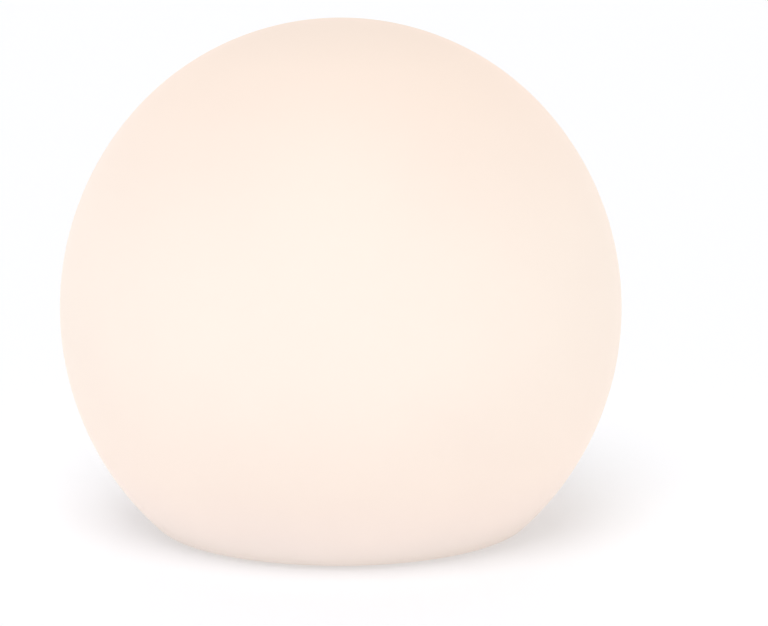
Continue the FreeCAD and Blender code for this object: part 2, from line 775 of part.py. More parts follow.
def make_base_plate():
    """The cover that closes the mouth, with its button tower, spigot, bosses and board posts."""
    body = new_body("base_plate")
    groove_foot = "at.plate_top + dims.seal_height"
    groove = "at.spigot_radius - dims.seal_depth"
    turned(
        body,
        [
            ("at.stem_bore", "at.tower_roof"),
            ("at.button_pocket", "at.tower_roof"),
            ("at.button_pocket", "at.plate_under"),
            ("at.plate_radius", "at.plate_under"),
            ("at.plate_radius", "at.plate_top"),
            ("at.spigot_radius", "at.plate_top"),
            ("at.spigot_radius", groove_foot),
            (groove, groove_foot),
            (groove, f"{groove_foot} + at.seal_width"),
            ("at.spigot_radius", f"{groove_foot} + at.seal_width"),
            ("at.spigot_radius", "at.spigot_top"),
            ("at.spigot_radius - dims.spigot_wall", "at.spigot_top"),
            ("at.spigot_radius - dims.spigot_wall", "at.plate_top"),
            ("at.tower_radius", "at.plate_top"),
            ("at.tower_radius", "at.tower_top"),
            ("at.stem_bore", "at.tower_top"),
        ],
    )
    round_edges(
        body,
        "dims.plate_round",
        lambda edge: is_circle(edge, "at.plate_radius", "at.plate_under")
        or is_circle(edge, "at.button_pocket", "at.plate_under"),
    )
    posts = new_sketch(body, "XY_Plane", z="at.plate_top")
    for place in BOARD_PLACES:
        draw_circle(posts, "dims.post_radius", *place)
    pad(body, posts, "at.board_under - at.plate_top")
    pilots = new_sketch(body, "XY_Plane", z="at.board_under")
    for place in BOARD_PLACES:
        draw_circle(pilots, "dims.m25_radius + dims.thread_clearance", *place)
    pocket(body, pilots, "dims.board_screw_length")
    port_boss = new_sketch(body, "XY_Plane", z="at.plate_top")
    draw_circle(port_boss, "dims.jack_boss_radius", "dims.jack_place")
    pad(body, port_boss, "at.jack_seat - at.plate_top")
    port_pocket = new_sketch(body, "XY_Plane", z="at.plate_under")
    draw_circle(port_pocket, "dims.pocket_radius", "dims.jack_place")
    pocket(body, port_pocket, "dims.pocket_depth", up=True)
    port_hole = new_sketch(body, "XY_Plane", z="at.port_floor")
    draw_circle(port_hole, "dims.nose_radius + dims.nose_clearance", "dims.jack_place")
    pocket(body, port_hole, "dims.jack_web", up=True)
    for radius, x, y in (
        ("dims.pipe_radius + dims.pipe_clearance", "-dims.pipe_place", "0"),
        ("dims.anchor_stem + dims.anchor_clearance", "dims.jack_place", "-dims.anchor_reach"),
    ):
        hole = new_sketch(body, "XY_Plane", z="at.plate_under")
        draw_circle(hole, radius, x, y)
        pocket(body, hole, "dims.plate_thickness", up=True)
    boss = new_sketch(body, "XY_Plane", z="at.plate_top")
    draw_circle(boss, "dims.column_radius", *COLUMN_PLACE[0])
    bore = new_sketch(body, "XY_Plane", z="at.plate_under")
    draw_circle(bore, "dims.m3_radius + dims.m3_hole_clearance", *COLUMN_PLACE[0])
    sink = new_sketch(body, "XY_Plane", z="at.plate_under")
    draw_circle(sink, "dims.m3_head_radius + dims.sink_clearance", *COLUMN_PLACE[0])
    features = [pad(body, boss, "dims.spigot_height")]
    features.append(pocket(body, bore, "dims.plate_thickness + dims.spigot_height", up=True))
    features.append(pocket(body, sink, "dims.housing_screw_sink", up=True))
    repeat(body, features, "dims.column_count")
    bolt_hole = new_sketch(body, "XY_Plane", z="at.plate_under")
    draw_circle(bolt_hole, "dims.m4_radius + dims.m4_hole_clearance", *BOLT_PLACE[0])
    repeat(body, [pocket(body, bolt_hole, "dims.plate_thickness", up=True)], "dims.bolt_count")
    rib = new_sketch(body, "XY_Plane", z="at.plate_under")
    middle = "at.column_circle + dims.rib_gap + dims.rib_length / 2"
    turn = "180 / dims.rib_count"
    draw_rectangle(rib, "dims.rib_length", "dims.rib_width", middle)
    rib.setExpression(".AttachmentOffset.Rotation.Angle", turn)
    repeat(body, [pad(body, rib, "dims.rib_height", down=True)], "dims.rib_count")


def make_housing_can():
    """The upper half of the sealed housing: wall, roof, dome rim, columns, bosses and bayonet lugs."""
    body = new_body("housing_can")
    rim_top = "at.dome_flange_top - dims.rim_drop"
    turned(
        body,
        [
            ("at.can_bore", "at.plate_top"),
            ("at.housing_radius", "at.plate_top"),
            ("at.housing_radius", rim_top),
            ("at.rim_bore", rim_top),
            ("at.rim_bore", "at.roof_top"),
            ("0", "at.roof_top"),
            ("0", "at.roof_z"),
            ("at.can_bore", "at.roof_z"),
        ],
    )
    column = new_sketch(body, "XY_Plane", z="at.column_z")
    draw_circle(column, "dims.column_radius", *COLUMN_PLACE[0])
    rib = new_sketch(body, "XY_Plane", z="at.column_z")
    rib_length = "at.can_bore + dims.housing_wall / 2 - at.column_circle"
    draw_rectangle(rib, rib_length, "dims.column_rib", f"at.column_circle + ({rib_length}) / 2")
    rib.setExpression(".AttachmentOffset.Rotation.Angle", "dims.column_angle")
    pilot = new_sketch(body, "XY_Plane", z="at.column_z")
    draw_circle(pilot, "dims.m3_radius + dims.thread_clearance", *COLUMN_PLACE[0])
    tip = "at.plate_under + dims.housing_screw_sink + dims.housing_screw_length + dims.pilot_extra"
    features = [pad(body, sketch, "at.roof_z - at.column_z") for sketch in (column, rib)]
    features.append(pocket(body, pilot, f"{tip} - at.column_z", up=True))
    boss = new_sketch(body, "XY_Plane", z="at.roof_z")
    draw_circle(boss, "dims.roof_boss_radius", *SPREADER_PLACE[0])
    features.append(pad(body, boss, "dims.spreader_boss_height", down=True))
    thread = new_sketch(body, "XY_Plane", z="at.roof_top")
    draw_circle(thread, "dims.m3_radius + dims.thread_clearance", *SPREADER_PLACE[0])
    depth = "dims.spreader_screw_length - dims.spreader_thickness + dims.pilot_extra / 2"
    features.append(pocket(body, thread, depth))
    repeat(body, features, "dims.column_count")
    lug = new_sketch(body, "XY_Plane", z="at.bayonet_z")
    reach = "dims.housing_wall / 2 + dims.bayonet_height"
    middle = f"at.housing_radius - dims.housing_wall / 2 + ({reach}) / 2"
    draw_rectangle(lug, reach, "dims.bayonet_width", middle)
    repeat(body, [pad(body, lug, "dims.bayonet_thickness")], "dims.lug_count")
    bracket_boss = new_sketch(body, "XY_Plane", z="at.roof_z")
    bracket_pilot = new_sketch(body, "XY_Plane", z="at.roof_z - dims.bracket_boss_height")
    for place in BRACKET_PLACES:
        draw_circle(bracket_boss, "dims.roof_boss_radius", *place)
        draw_circle(bracket_pilot, "dims.m3_radius + dims.thread_clearance", *place)
    pad(body, bracket_boss, "dims.bracket_boss_height", down=True)
    pocket(body, bracket_pilot, "dims.bracket_screw_length - dims.bracket_foot_thickness + 1", up=True)
    wire_hole = new_sketch(body, "XY_Plane", z="at.roof_top")
    draw_circle(wire_hole, "dims.grommet_radius", "0", "at.grommet_place")
    pocket(body, wire_hole, "dims.roof_thickness")


def make_o_ring(label, groove, bore, height, clearance):
    """An O-ring between a groove's floor and the bore round it."""
    body = new_body(label)
    sketch = new_sketch(body, "XZ_Plane")
    section = f"({bore} - ({groove})) / 2"
    draw_circle(sketch, f"{section} - {clearance}", f"({groove}) + {section}", height)
    revolve(body, sketch)


# ---- power button ----


def make_power_button():
    """A dished key with a standby mark, on a stem with grooves for its spring, its seal and its clip."""
    body = new_body("power_button")
    seal_foot = "at.tower_roof + dims.stem_seal_rise"
    clip_top = "at.clip_z + dims.clip_thickness"
    spring_in = "dims.spring_radius - dims.spring_wire / 2 - dims.spring_clearance"
    spring_out = "dims.spring_radius + dims.spring_wire / 2 + dims.spring_clearance"
    turned(
        body,
        [
            ("0", "at.button_face"),
            ("dims.button_radius", "at.button_face"),
            ("dims.button_radius", "at.button_back"),
            (spring_out, "at.button_back"),
            (spring_out, "at.spring_foot"),
            (spring_in, "at.spring_foot"),
            (spring_in, "at.button_back"),
            ("dims.stem_radius", "at.button_back"),
            ("dims.stem_radius", seal_foot),
            ("at.stem_groove_radius", seal_foot),
            ("at.stem_groove_radius", f"{seal_foot} + at.stem_seal_width"),
            ("dims.stem_radius", f"{seal_foot} + at.stem_seal_width"),
            ("dims.stem_radius", "at.clip_z"),
            ("at.stem_groove_radius", "at.clip_z"),
            ("at.stem_groove_radius", clip_top),
            ("dims.stem_radius", clip_top),
            ("dims.stem_radius", "at.stem_top"),
            ("0", "at.stem_top"),
        ],
    )
    round_edges(
        body, "dims.button_round", lambda edge: is_circle(edge, "dims.button_radius", "at.button_face")
    )
    dish = new_sketch(body, "XZ_Plane")
    dish_edge = "(dims.button_radius - 2 * dims.button_round)"
    draw_outline(
        dish,
        [("0", "at.button_face"), (dish_edge, "at.button_face"), ("0", "at.button_face + dims.button_dish")],
        {1: (f"({dish_edge}^2 + dims.button_dish^2) / (2 * dims.button_dish)", 1)},
    )
    add_feature(body, "Groove", dish, False, ReferenceAxis=(dish, ["V_Axis"]), Angle=360.0)
    mark = new_sketch(body, "XY_Plane", z="at.button_face")
    draw_circle(mark, "dims.mark_radius + dims.mark_width / 2")
    draw_circle(mark, "dims.mark_radius - dims.mark_width / 2")
    pocket(body, mark, "dims.button_dish + dims.mark_depth", up=True)
    stroke = new_sketch(body, "XY_Plane", z="at.button_face")
    draw_rectangle(stroke, "dims.mark_width", "dims.mark_radius * 1.5", "0", "dims.mark_radius")
    pocket(body, stroke, "dims.button_dish + dims.mark_depth", up=True)


def make_button_clip():
    """The open retaining clip in the stem's groove."""
    body = new_body("button_clip")
    ring = new_sketch(body, "XY_Plane", z="at.clip_z")
    draw_circle(ring, "dims.clip_radius")
    draw_circle(ring, "at.stem_groove_radius + dims.clip_gap")
    pad(body, ring, "dims.clip_thickness")
    slot = new_sketch(body, "XY_Plane", z="at.clip_z")
    draw_rectangle(slot, "dims.clip_radius * 1.5", "dims.clip_slot", "dims.clip_radius * 0.75")
    pocket(body, slot, "dims.clip_thickness", up=True)


def arc_between(start, corner, finish):
    """The arc that leaves start towards corner and reaches finish from it; both legs are equally long."""
    middle = (start + finish) * 0.5
    towards = corner - middle
    leg = (corner - start).Length
    half = math.asin(min(towards.Length / leg, 1))
    if half < 1e-6:
        return Part.LineSegment(start, finish).toShape()
    sagitta = leg * (1 - math.cos(half)) / math.tan(half)
    return Part.Arc(start, middle + towards.normalize() * sagitta, finish).toShape()


def biarc(start, start_way, finish, finish_way):
    """Two arcs from start to finish that keep the given directions at both ends."""
    chord = finish - start
    ways = start_way + finish_way
    a = ways.dot(ways) - 4
    leg = (chord.dot(ways) - math.sqrt(chord.dot(ways) ** 2 - a * chord.dot(chord))) / a
    first = start + start_way * leg
    second = finish - finish_way * leg
    join = (first + second) * 0.5
    return [arc_between(start, first, join), arc_between(join, second, finish)]


def tube_along(edges, radius, start, way):
    """A round solid swept along joined edges, checked against its section times its length."""
    path = Part.Wire(edges)
    section = Part.Wire(Part.Circle(start, way, radius).toShape())
    tube = path.makePipeShell([section], True, False)
    wanted = math.pi * radius**2 * path.Length
    if abs(tube.Volume - wanted) > 0.01 * wanted:
        raise RuntimeError(f"a tube holds {tube.Volume:.2f} and not {wanted:.2f} cubic millimetres")
    return tube


def make_button_spring():
    """A compression spring between the key and the tower's roof, on biarcs of a quarter turn each."""
    wire = number("dims.spring_wire / 2")
    radius = number("dims.spring_radius")
    turns = int(number("dims.spring_turns"))
    foot = number("at.spring_foot") + wire + number("dims.seal_clearance")
    rise = number("dims.spring_length") - 2 * wire - 2 * number("dims.seal_clearance")
    quarters = 4 * turns
    slope = rise / (2 * math.pi * turns * radius)

    def point(k):
        angle = math.pi / 2 * k
        return Vector(radius * math.cos(angle), radius * math.sin(angle), foot + rise * k / quarters)

    def way(k):
        angle = math.pi / 2 * k
        return Vector(-math.sin(angle), math.cos(angle), slope).normalize()

    edges = []
    for k in range(quarters):
        edges += biarc(point(k), way(k), point(k + 1), way(k + 1))
    gap = rise / turns - 2 * wire
    print(f"button spring: {turns} turns, {gap:.2f} mm between turns")
    keep_shape("button_spring", tube_along(edges, wire, point(0), way(0)))


def make_push_switch():
    body = new_body("push_switch")
    case = new_sketch(body, "XY_Plane", z="at.switch_z")
    draw_rectangle(case, "dims.switch_side", "dims.switch_side")
    pad(body, case, "dims.switch_height")
    round_edges(body, "dims.switch_round", is_upright)
    well = new_sketch(body, "XY_Plane", z="at.switch_z")
    hole = "dims.plunger_side + 2 * dims.plunger_clearance"
    draw_rectangle(well, hole, hole)
    pocket(body, well, "dims.plunger_inside + dims.button_travel + dims.plunger_rest", up=True)


def make_switch_plunger():
    body = new_body("switch_plunger")
    sketch = new_sketch(body, "XY_Plane", z="at.stem_top")
    draw_rectangle(sketch, "dims.plunger_side", "dims.plunger_side")
    pad(body, sketch, "dims.plunger_free + dims.plunger_inside")


# ---- driver board and what is on it ----


def make_driver_board():
    body = new_body("driver_board")
    sketch = new_sketch(body, "XY_Plane", z="at.board_under")
    draw_rectangle(sketch, "dims.board_length", "dims.board_width", "-dims.board_shift")
    pad(body, sketch, "dims.board_thickness")
    round_edges(body, "dims.board_corner", is_upright)
    holes = new_sketch(body, "XY_Plane", z="at.board_top")
    for place in BOARD_PLACES:
        draw_circle(holes, "dims.m25_radius + dims.m25_hole_clearance", *place)
    pocket(body, holes, "dims.board_thickness")


def make_driver_chips():
    """Two controller chips, each a moulded block with a row of pins down both long sides."""
    body = new_body("driver_chips")
    blocks = new_sketch(body, "XY_Plane", z="at.board_top + dims.chip_pin")
    pins = new_sketch(body, "XY_Plane", z="at.board_top")
    for y in ("-dims.chip_spread", "dims.chip_spread"):
        draw_rectangle(blocks, "dims.chip_length", "dims.chip_width", "at.chip_x", y)
        for k in range(int(number("dims.chip_pins"))):
            step = f"at.chip_x + ({k} - (dims.chip_pins - 1) / 2) * dims.chip_pitch"
            draw_rectangle(pins, "dims.chip_pin", "dims.chip_width + 2 * dims.pin_reach", step, y)
    pad(body, pins, "dims.chip_pin")
    pad(body, blocks, "dims.chip_height")


def make_driver_inductor():
    body = new_body("driver_inductor")
    place = ("at.board_right - dims.coil_inset", "dims.coil_inset - at.board_side")
    case = new_sketch(body, "XY_Plane", z="at.board_top")
    draw_rectangle(case, "dims.coil_side", "dims.coil_side", *place)
    pad(body, case, "dims.coil_height")
    round_edges(body, "dims.board_corner", is_upright)
    core = new_sketch(body, "XY_Plane", z="at.board_top + dims.coil_height")
    draw_circle(core, "dims.coil_core_radius", *place)
    pad(body, core, "dims.coil_core_height")


def make_driver_capacitor():
    """An electrolytic can on its square base."""
    body = new_body("driver_capacitor")
    place = "at.board_left + dims.capacitor_inset"
    base = new_sketch(body, "XY_Plane", z="at.board_top")
    side = "2 * (dims.capacitor_radius + dims.capacitor_base_margin)"
    draw_rectangle(base, side, side, place)
    pad(body, base, "dims.capacitor_base")
    can = new_sketch(body, "XY_Plane", z="at.board_top + dims.capacitor_base")
    draw_circle(can, "dims.capacitor_radius", place)
    pad(body, can, "dims.capacitor_height - dims.capacitor_base")
    round_edges(
        body,
        "dims.head_round",
        lambda edge: is_circle(edge, "dims.capacitor_radius", "at.board_top + dims.capacitor_height"),
    )


# Where each pair of wires meets the board: x and y of its connector.
BATTERY_PLUG = ("at.battery_plug_x", "at.board_side - dims.battery_plug_edge")
LIGHT_PLUG = ("at.board_left + dims.light_plug_inset", "at.board_side - dims.light_plug_edge")
JACK_PLUG = ("at.board_right - dims.jack_plug_inset", "at.board_side - dims.jack_plug_edge")


def make_board_connectors():
    body = new_body("board_connectors")
    cases = new_sketch(body, "XY_Plane", z="at.board_top")
    wells = new_sketch(body, "XY_Plane", z="at.board_top + dims.plug_height")
    wall = "2 * dims.plug_wall"
    for place in (BATTERY_PLUG, LIGHT_PLUG, JACK_PLUG):
        draw_rectangle(cases, "dims.plug_width", "dims.plug_depth", *place)
        draw_rectangle(wells, f"dims.plug_width - {wall}", f"dims.plug_depth - {wall}", *place)
    pad(body, cases, "dims.plug_height")
    pocket(body, wells, "dims.plug_height - dims.plug_floor")


def make_status_light():
    body = new_body("status_light")
    sketch = new_sketch(body, "XY_Plane", z="at.board_under")
    draw_rectangle(sketch, "dims.status_side", "dims.status_side", "-dims.pipe_place")
    pad(body, sketch, "dims.status_height", down=True)


def make_light_pipe():
    """The clear rod that carries the charging lamp's light down through the base plate."""
    body = new_body("light_pipe")
    rod = new_sketch(body, "XY_Plane", z="at.plate_under")
    draw_circle(rod, "dims.pipe_radius", "-dims.pipe_place")
    pad(body, rod, "at.board_under - dims.status_height - dims.pipe_gap - at.plate_under")
    flange = new_sketch(body, "XY_Plane", z="at.plate_top")
    draw_circle(flange, "dims.pipe_flange", "-dims.pipe_place")
    pad(body, flange, "dims.pipe_flange_height")


# ---- charging port ----


def make_charge_jack():
    """The round socket: nose through the plate, shoulder on its seal, case and two solder lugs."""
    body = new_body("charge_jack")
    steps = (
        ("dims.nose_radius", "at.port_mouth", "at.jack_z - at.port_mouth"),
        ("dims.jack_shoulder_radius", "at.jack_z", "dims.jack_shoulder"),
        ("dims.jack_radius", "at.jack_z + dims.jack_shoulder", "dims.jack_height - dims.jack_shoulder"),
    )
    for radius, foot, height in steps:
        sketch = new_sketch(body, "XY_Plane", z=foot)
        draw_circle(sketch, radius, "dims.jack_place")
        pad(body, sketch, height)
    bores = (
        ("dims.jack_bore", "at.port_mouth", "dims.jack_bore_depth"),
        ("dims.pin_radius + dims.pin_clearance", "at.port_mouth", "dims.jack_bore_depth + dims.pin_root"),
    )
    for radius, foot, depth in bores:
        sketch = new_sketch(body, "XY_Plane", z=foot)
        draw_circle(sketch, radius, "dims.jack_place")
        pocket(body, sketch, depth, up=True)
    lugs = new_sketch(body, "XY_Plane", z="at.jack_z + dims.jack_height")
    for side in (-1, 1):
        place = ("dims.jack_place", f"{side} * dims.lug_spread")
        draw_rectangle(lugs, "dims.lug_thickness", "dims.lug_width", *place)
    pad(body, lugs, "dims.lug_length")


def make_jack_contact_pin():
    body = new_body("jack_contact_pin")
    sketch = new_sketch(body, "XY_Plane", z="at.port_mouth + dims.pin_sink")
    draw_circle(sketch, "dims.pin_radius", "dims.jack_place")
    pad(body, sketch, "dims.jack_bore_depth + dims.pin_root - dims.pin_sink")
    round_edges(
        body,
        "dims.pin_radius / 2",
        lambda edge: is_circle(edge, "dims.pin_radius", "at.port_mouth + dims.pin_sink"),
    )


def make_jack_nut():
    body = new_body("jack_nut")
    sketch = new_sketch(body, "XY_Plane", z="at.port_mouth")
    draw_polygon(sketch, 6, "dims.nut_flats / 2 / cos(30)", "dims.jack_place")
    pad(body, sketch, "dims.nut_thickness")
    bore = new_sketch(body, "XY_Plane", z="at.port_mouth")
    draw_circle(bore, "dims.nose_radius + dims.thread_clearance", "dims.jack_place")
    pocket(body, bore, "dims.nut_thickness", up=True)


def make_jack_seal():
    body = new_body("jack_seal")
    sketch = new_sketch(body, "XY_Plane", z="at.jack_seat")
    draw_circle(sketch, "dims.jack_shoulder_radius", "dims.jack_place")
    draw_circle(sketch, "dims.nose_radius + dims.nose_clearance", "dims.jack_place")
    pad(body, sketch, "dims.jack_seal_thickness")


def make_port_cap():
    """The rubber cap that moves: cover, lip, hollow plug, pull tab and its half of the tether."""
    body = new_body("port_cap")
    cover = new_sketch(body, "XY_Plane", z="at.cap_face")
    draw_circle(cover, "dims.cap_radius", "dims.jack_place")
    pad(body, cover, "dims.cap_thickness")
    round_edges(body, "dims.head_round", lambda edge: is_circle(edge, "dims.cap_radius", "at.cap_face"))
    lip = new_sketch(body, "XY_Plane", z="at.cap_back")
    draw_circle(lip, "at.cap_lip", "dims.jack_place")
    draw_circle(lip, "at.cap_lip - dims.cap_lip_wall", "dims.jack_place")
    pad(body, lip, "dims.cap_lip_height")
    plug = new_sketch(body, "XZ_Plane", x="dims.jack_place")
    top = "at.cap_back + dims.cap_plug_height"
    draw_outline(
        plug,
        [
            ("dims.cap_plug_bore", "at.cap_back"),
            ("dims.cap_plug_root", "at.cap_back"),
            ("dims.cap_plug_tip", top),
            ("dims.cap_plug_bore", top),
        ],
    )
    revolve(body, plug)
    strap = new_sketch(body, "XY_Plane", z="at.cap_back")
    near = "dims.strap_thickness / 2 + dims.hinge_gap"
    strap_length = f"dims.hinge_reach - ({near}) - dims.cap_radius / 2"
    strap_middle = f"-(dims.cap_radius / 2 + ({strap_length}) / 2)"
    draw_rectangle(strap, "dims.strap_width", strap_length, "dims.jack_place", strap_middle)
    pad(body, strap, "dims.strap_thickness", down=True)
    tab = new_sketch(body, "XY_Plane", z="at.cap_face")
    tab_length = "dims.cap_radius / 2 + dims.tab_length"
    tab_middle = f"dims.cap_radius / 2 + ({tab_length}) / 2"
    draw_rectangle(tab, "dims.tab_width", tab_length, "dims.jack_place", tab_middle)
    pad(body, tab, "dims.strap_thickness")
    end = number("dims.cap_radius + dims.tab_length")
    round_edges(
        body,
        "dims.tab_width / 3",
        lambda edge: is_upright(edge) and abs(edge.Vertexes[0].Point.y - end) < 0.01,
    )


def make_port_cap_anchor():
    """The fixed end of the tether: hinge bead, neck, head, stem through the plate and barb behind it."""
    body = new_body("port_cap_anchor")
    head = new_sketch(body, "XY_Plane", z="at.cap_face")
    draw_circle(head, "dims.anchor_radius", "dims.jack_place", "-dims.anchor_reach")
    pad(body, head, "dims.cap_thickness")
    round_edges(body, "dims.head_round", lambda edge: is_circle(edge, "dims.anchor_radius", "at.cap_face"))
    neck = new_sketch(body, "XY_Plane", z="at.cap_back")
    neck_length = "dims.anchor_reach - dims.hinge_reach"
    neck_middle = f"-dims.hinge_reach - ({neck_length}) / 2"
    draw_rectangle(neck, "dims.strap_width", neck_length, "dims.jack_place", neck_middle)
    pad(body, neck, "dims.strap_thickness", down=True)
    bead = new_sketch(body, "YZ_Plane", z="dims.jack_place - dims.strap_width / 2")
    draw_circle(bead, "dims.strap_thickness / 2", "-dims.hinge_reach", "at.hinge_z")
    pad(body, bead, "dims.strap_width")
    stem = new_sketch(body, "XY_Plane", z="at.cap_back")
    draw_circle(stem, "dims.anchor_stem", "dims.jack_place", "-dims.anchor_reach")
    pad(body, stem, "dims.cap_gap + dims.plate_thickness + dims.anchor_barb_gap")
    barb = new_sketch(body, "XY_Plane", z="at.plate_top + dims.anchor_barb_gap")
    draw_circle(barb, "dims.anchor_barb", "dims.jack_place", "-dims.anchor_reach")
    pad(body, barb, "dims.anchor_barb_height")


# ---- battery pack and its bracket ----


def make_battery_cells():
    """Two round cells side by side along X, positive caps towards +X."""
    body = new_body("battery_cells")
    cans = new_sketch(body, "YZ_Plane", z="-dims.cell_length / 2")
    caps = new_sketch(body, "YZ_Plane", z="dims.cell_length / 2")
    for side in (-1, 1):
        place = (f"{side} * at.cell_pitch / 2", "at.cell_z")
        draw_circle(cans, "dims.cell_radius", *place)
        draw_circle(caps, "dims.cell_cap_radius", *place)
    pad(body, cans, "dims.cell_length")
    round_edges(body, "dims.cell_edge", lambda edge: is_circle(edge, "dims.cell_radius"))
    pad(body, caps, "dims.cell_cap_height")


def draw_stadium(sketch, radius):
    """The outline round both cells at that distance from their axes."""
    half = "at.cell_pitch / 2"
    low, high = f"at.cell_z - ({radius})", f"at.cell_z + ({radius})"
    corners = [(f"-{half}", low), (half, low), (half, high), (f"-{half}", high)]
    draw_outline(sketch, corners, {1: (radius, 1), 3: (radius, 1)})


def make_battery_sleeve():
    body = new_body("battery_sleeve")
    sketch = new_sketch(body, "YZ_Plane", z="-dims.cell_length / 2")
    draw_stadium(sketch, "at.cell_shell")
    draw_stadium(sketch, "dims.cell_radius + dims.sleeve_clearance")
    pad(body, sketch, "dims.cell_length")


def make_cell_strips():
    """A spot-welded strip across both caps, and one across both cans at the other end."""
    body = new_body("cell_strips")
    places = (
        "dims.cell_length / 2 + dims.cell_cap_height",
        "-dims.cell_length / 2 - dims.strip_thickness",
    )
    for place in places:
        sketch = new_sketch(body, "YZ_Plane", z=place)
        draw_rectangle(sketch, "at.cell_pitch + dims.strip_width", "dims.strip_width", "0", "at.cell_z")
        pad(body, sketch, "dims.strip_thickness")


def make_battery_pad():
    body = new_body("battery_pad")
    sketch = new_sketch(body, "XY_Plane", z="at.pad_z")
    draw_rectangle(sketch, "dims.battery_pad_length", "dims.battery_pad_width")
    pad(body, sketch, "dims.battery_pad_thickness")


def make_battery_bracket():
    """The strap that holds the cells up against the roof: floor, two arms and two screwed feet."""
    body = new_body("battery_bracket")
    sketch = new_sketch(body, "YZ_Plane", z="-dims.bracket_width / 2")
    foot_top = "at.roof_z - dims.bracket_boss_height"
    foot_z = f"{foot_top} - dims.bracket_foot_thickness"
    floor = "at.bracket_z + dims.bracket_wall"
    end = "(at.bracket_outer + dims.bracket_foot)"
    right = [
        ("at.bracket_outer", "at.bracket_z"),
        ("at.bracket_outer", foot_z),
        (end, foot_z),
        (end, foot_top),
        ("at.bracket_inner", foot_top),
        ("at.bracket_inner", floor),
    ]
    left = [(f"-{y}", z) for y, z in reversed(right)]
    draw_outline(sketch, right + left)
    pad(body, sketch, "dims.bracket_width")
    holes = new_sketch(body, "XY_Plane", z=foot_top)
    for place in BRACKET_PLACES:
        draw_circle(holes, "dims.m3_radius + dims.m3_hole_clearance", *place)
    pocket(body, holes, "dims.bracket_foot_thickness")


# ---- light source ----


def make_heat_spreader():
    body = new_body("heat_spreader")
    disc = new_sketch(body, "XY_Plane", z="at.roof_top")
    draw_circle(disc, "at.spreader_radius")
    pad(body, disc, "dims.spreader_thickness")
    round_edges(
        body, "dims.head_round", lambda edge: is_circle(edge, "at.spreader_radius", "at.spreader_top")
    )
    hole = new_sketch(body, "XY_Plane", z="at.spreader_top")
    draw_circle(hole, "dims.m3_radius + dims.m3_hole_clearance", *SPREADER_PLACE[0])
    repeat(body, [pocket(body, hole, "dims.spreader_thickness")], "dims.column_count")
    thread = new_sketch(body, "XY_Plane", z="at.spreader_top")
    draw_circle(thread, "dims.m25_radius + dims.thread_clearance", *LIGHT_SCREW_PLACE[0])
    depth = "dims.light_screw_length - dims.board_thickness + dims.light_thread_extra"
    repeat(body, [pocket(body, thread, depth)], "dims.light_screw_count")


def make_light_board():
    body = new_body("light_board")
    disc = new_sketch(body, "XY_Plane", z="at.spreader_top")
    draw_circle(disc, "dims.light_board_radius")
    pad(body, disc, "dims.board_thickness")
    hole = new_sketch(body, "XY_Plane", z="at.light_board_top")
    draw_circle(hole, "dims.m25_radius + dims.m25_hole_clearance", *LIGHT_SCREW_PLACE[0])
    repeat(body, [pocket(body, hole, "dims.board_thickness")], "dims.light_screw_count")


def make_light_chips():
    """Two rings of light chips, each a white block with a round lens on it."""
    body = new_body("light_chips")
    rings = (("at.light_circle", "light_count"), ("dims.inner_light_circle", "inner_light_count"))
    for circle, count in rings:
        block = new_sketch(body, "XY_Plane", z="at.light_board_top")
        draw_rectangle(block, "dims.light_side", "dims.light_side", circle)
        lens = new_sketch(body, "XY_Plane", z="at.light_board_top + dims.light_height")
        draw_circle(lens, "dims.light_lens_radius", circle)
        features = [pad(body, block, "dims.light_height"), pad(body, lens, "dims.light_lens_height")]
        repeat(body, features, f"dims.{count}")


def make_remote_receiver():
    """The receiver that stands in the middle of the light board, with its lens bulging forwards."""
    body = new_body("remote_receiver")
    case = new_sketch(body, "XY_Plane", z="at.light_board_top")
    draw_rectangle(case, "dims.receiver_width", "dims.receiver_depth")
    pad(body, case, "dims.receiver_height")
    lens = new_sketch(body, "XY_Plane", z="at.light_board_top + dims.receiver_height")
    draw_circle(lens, "dims.receiver_lens_radius")
    pad(body, lens, "dims.receiver_lens_height")
    face = "at.light_board_top + dims.receiver_height + dims.receiver_lens_height"
    round_edges(
        body, "dims.receiver_lens_round", lambda edge: is_circle(edge, "dims.receiver_lens_radius", face)
    )


def make_diffuser_dome():
    """The opal dome over the light board: a flange, a short skirt and a half ball."""
    body = new_body("diffuser_dome")
    inner = "(at.dome_radius - dims.dome_wall)"
    rim = "at.rim_bore - dims.dome_flange_clearance"
    turned(
        body,
        [
            ("0", "at.dome_centre + at.dome_radius"),
            ("0", f"at.dome_centre + {inner}"),
            (inner, "at.dome_centre"),
            (inner, "at.dome_z"),
            (rim, "at.dome_z"),
            (rim, "at.dome_flange_top"),
            ("at.dome_radius", "at.dome_flange_top"),
            ("at.dome_radius", "at.dome_centre"),
        ],
        {1: (inner, -1), 7: ("at.dome_radius", 1)},
    )


def make_dome_gasket():
    body = new_body("dome_gasket")
    sketch = new_sketch(body, "XY_Plane", z="at.roof_top")
    draw_circle(sketch, "at.rim_bore - dims.dome_flange_clearance")
    draw_circle(sketch, "at.dome_radius - dims.dome_wall")
    pad(body, sketch, "dims.dome_gasket_thickness")


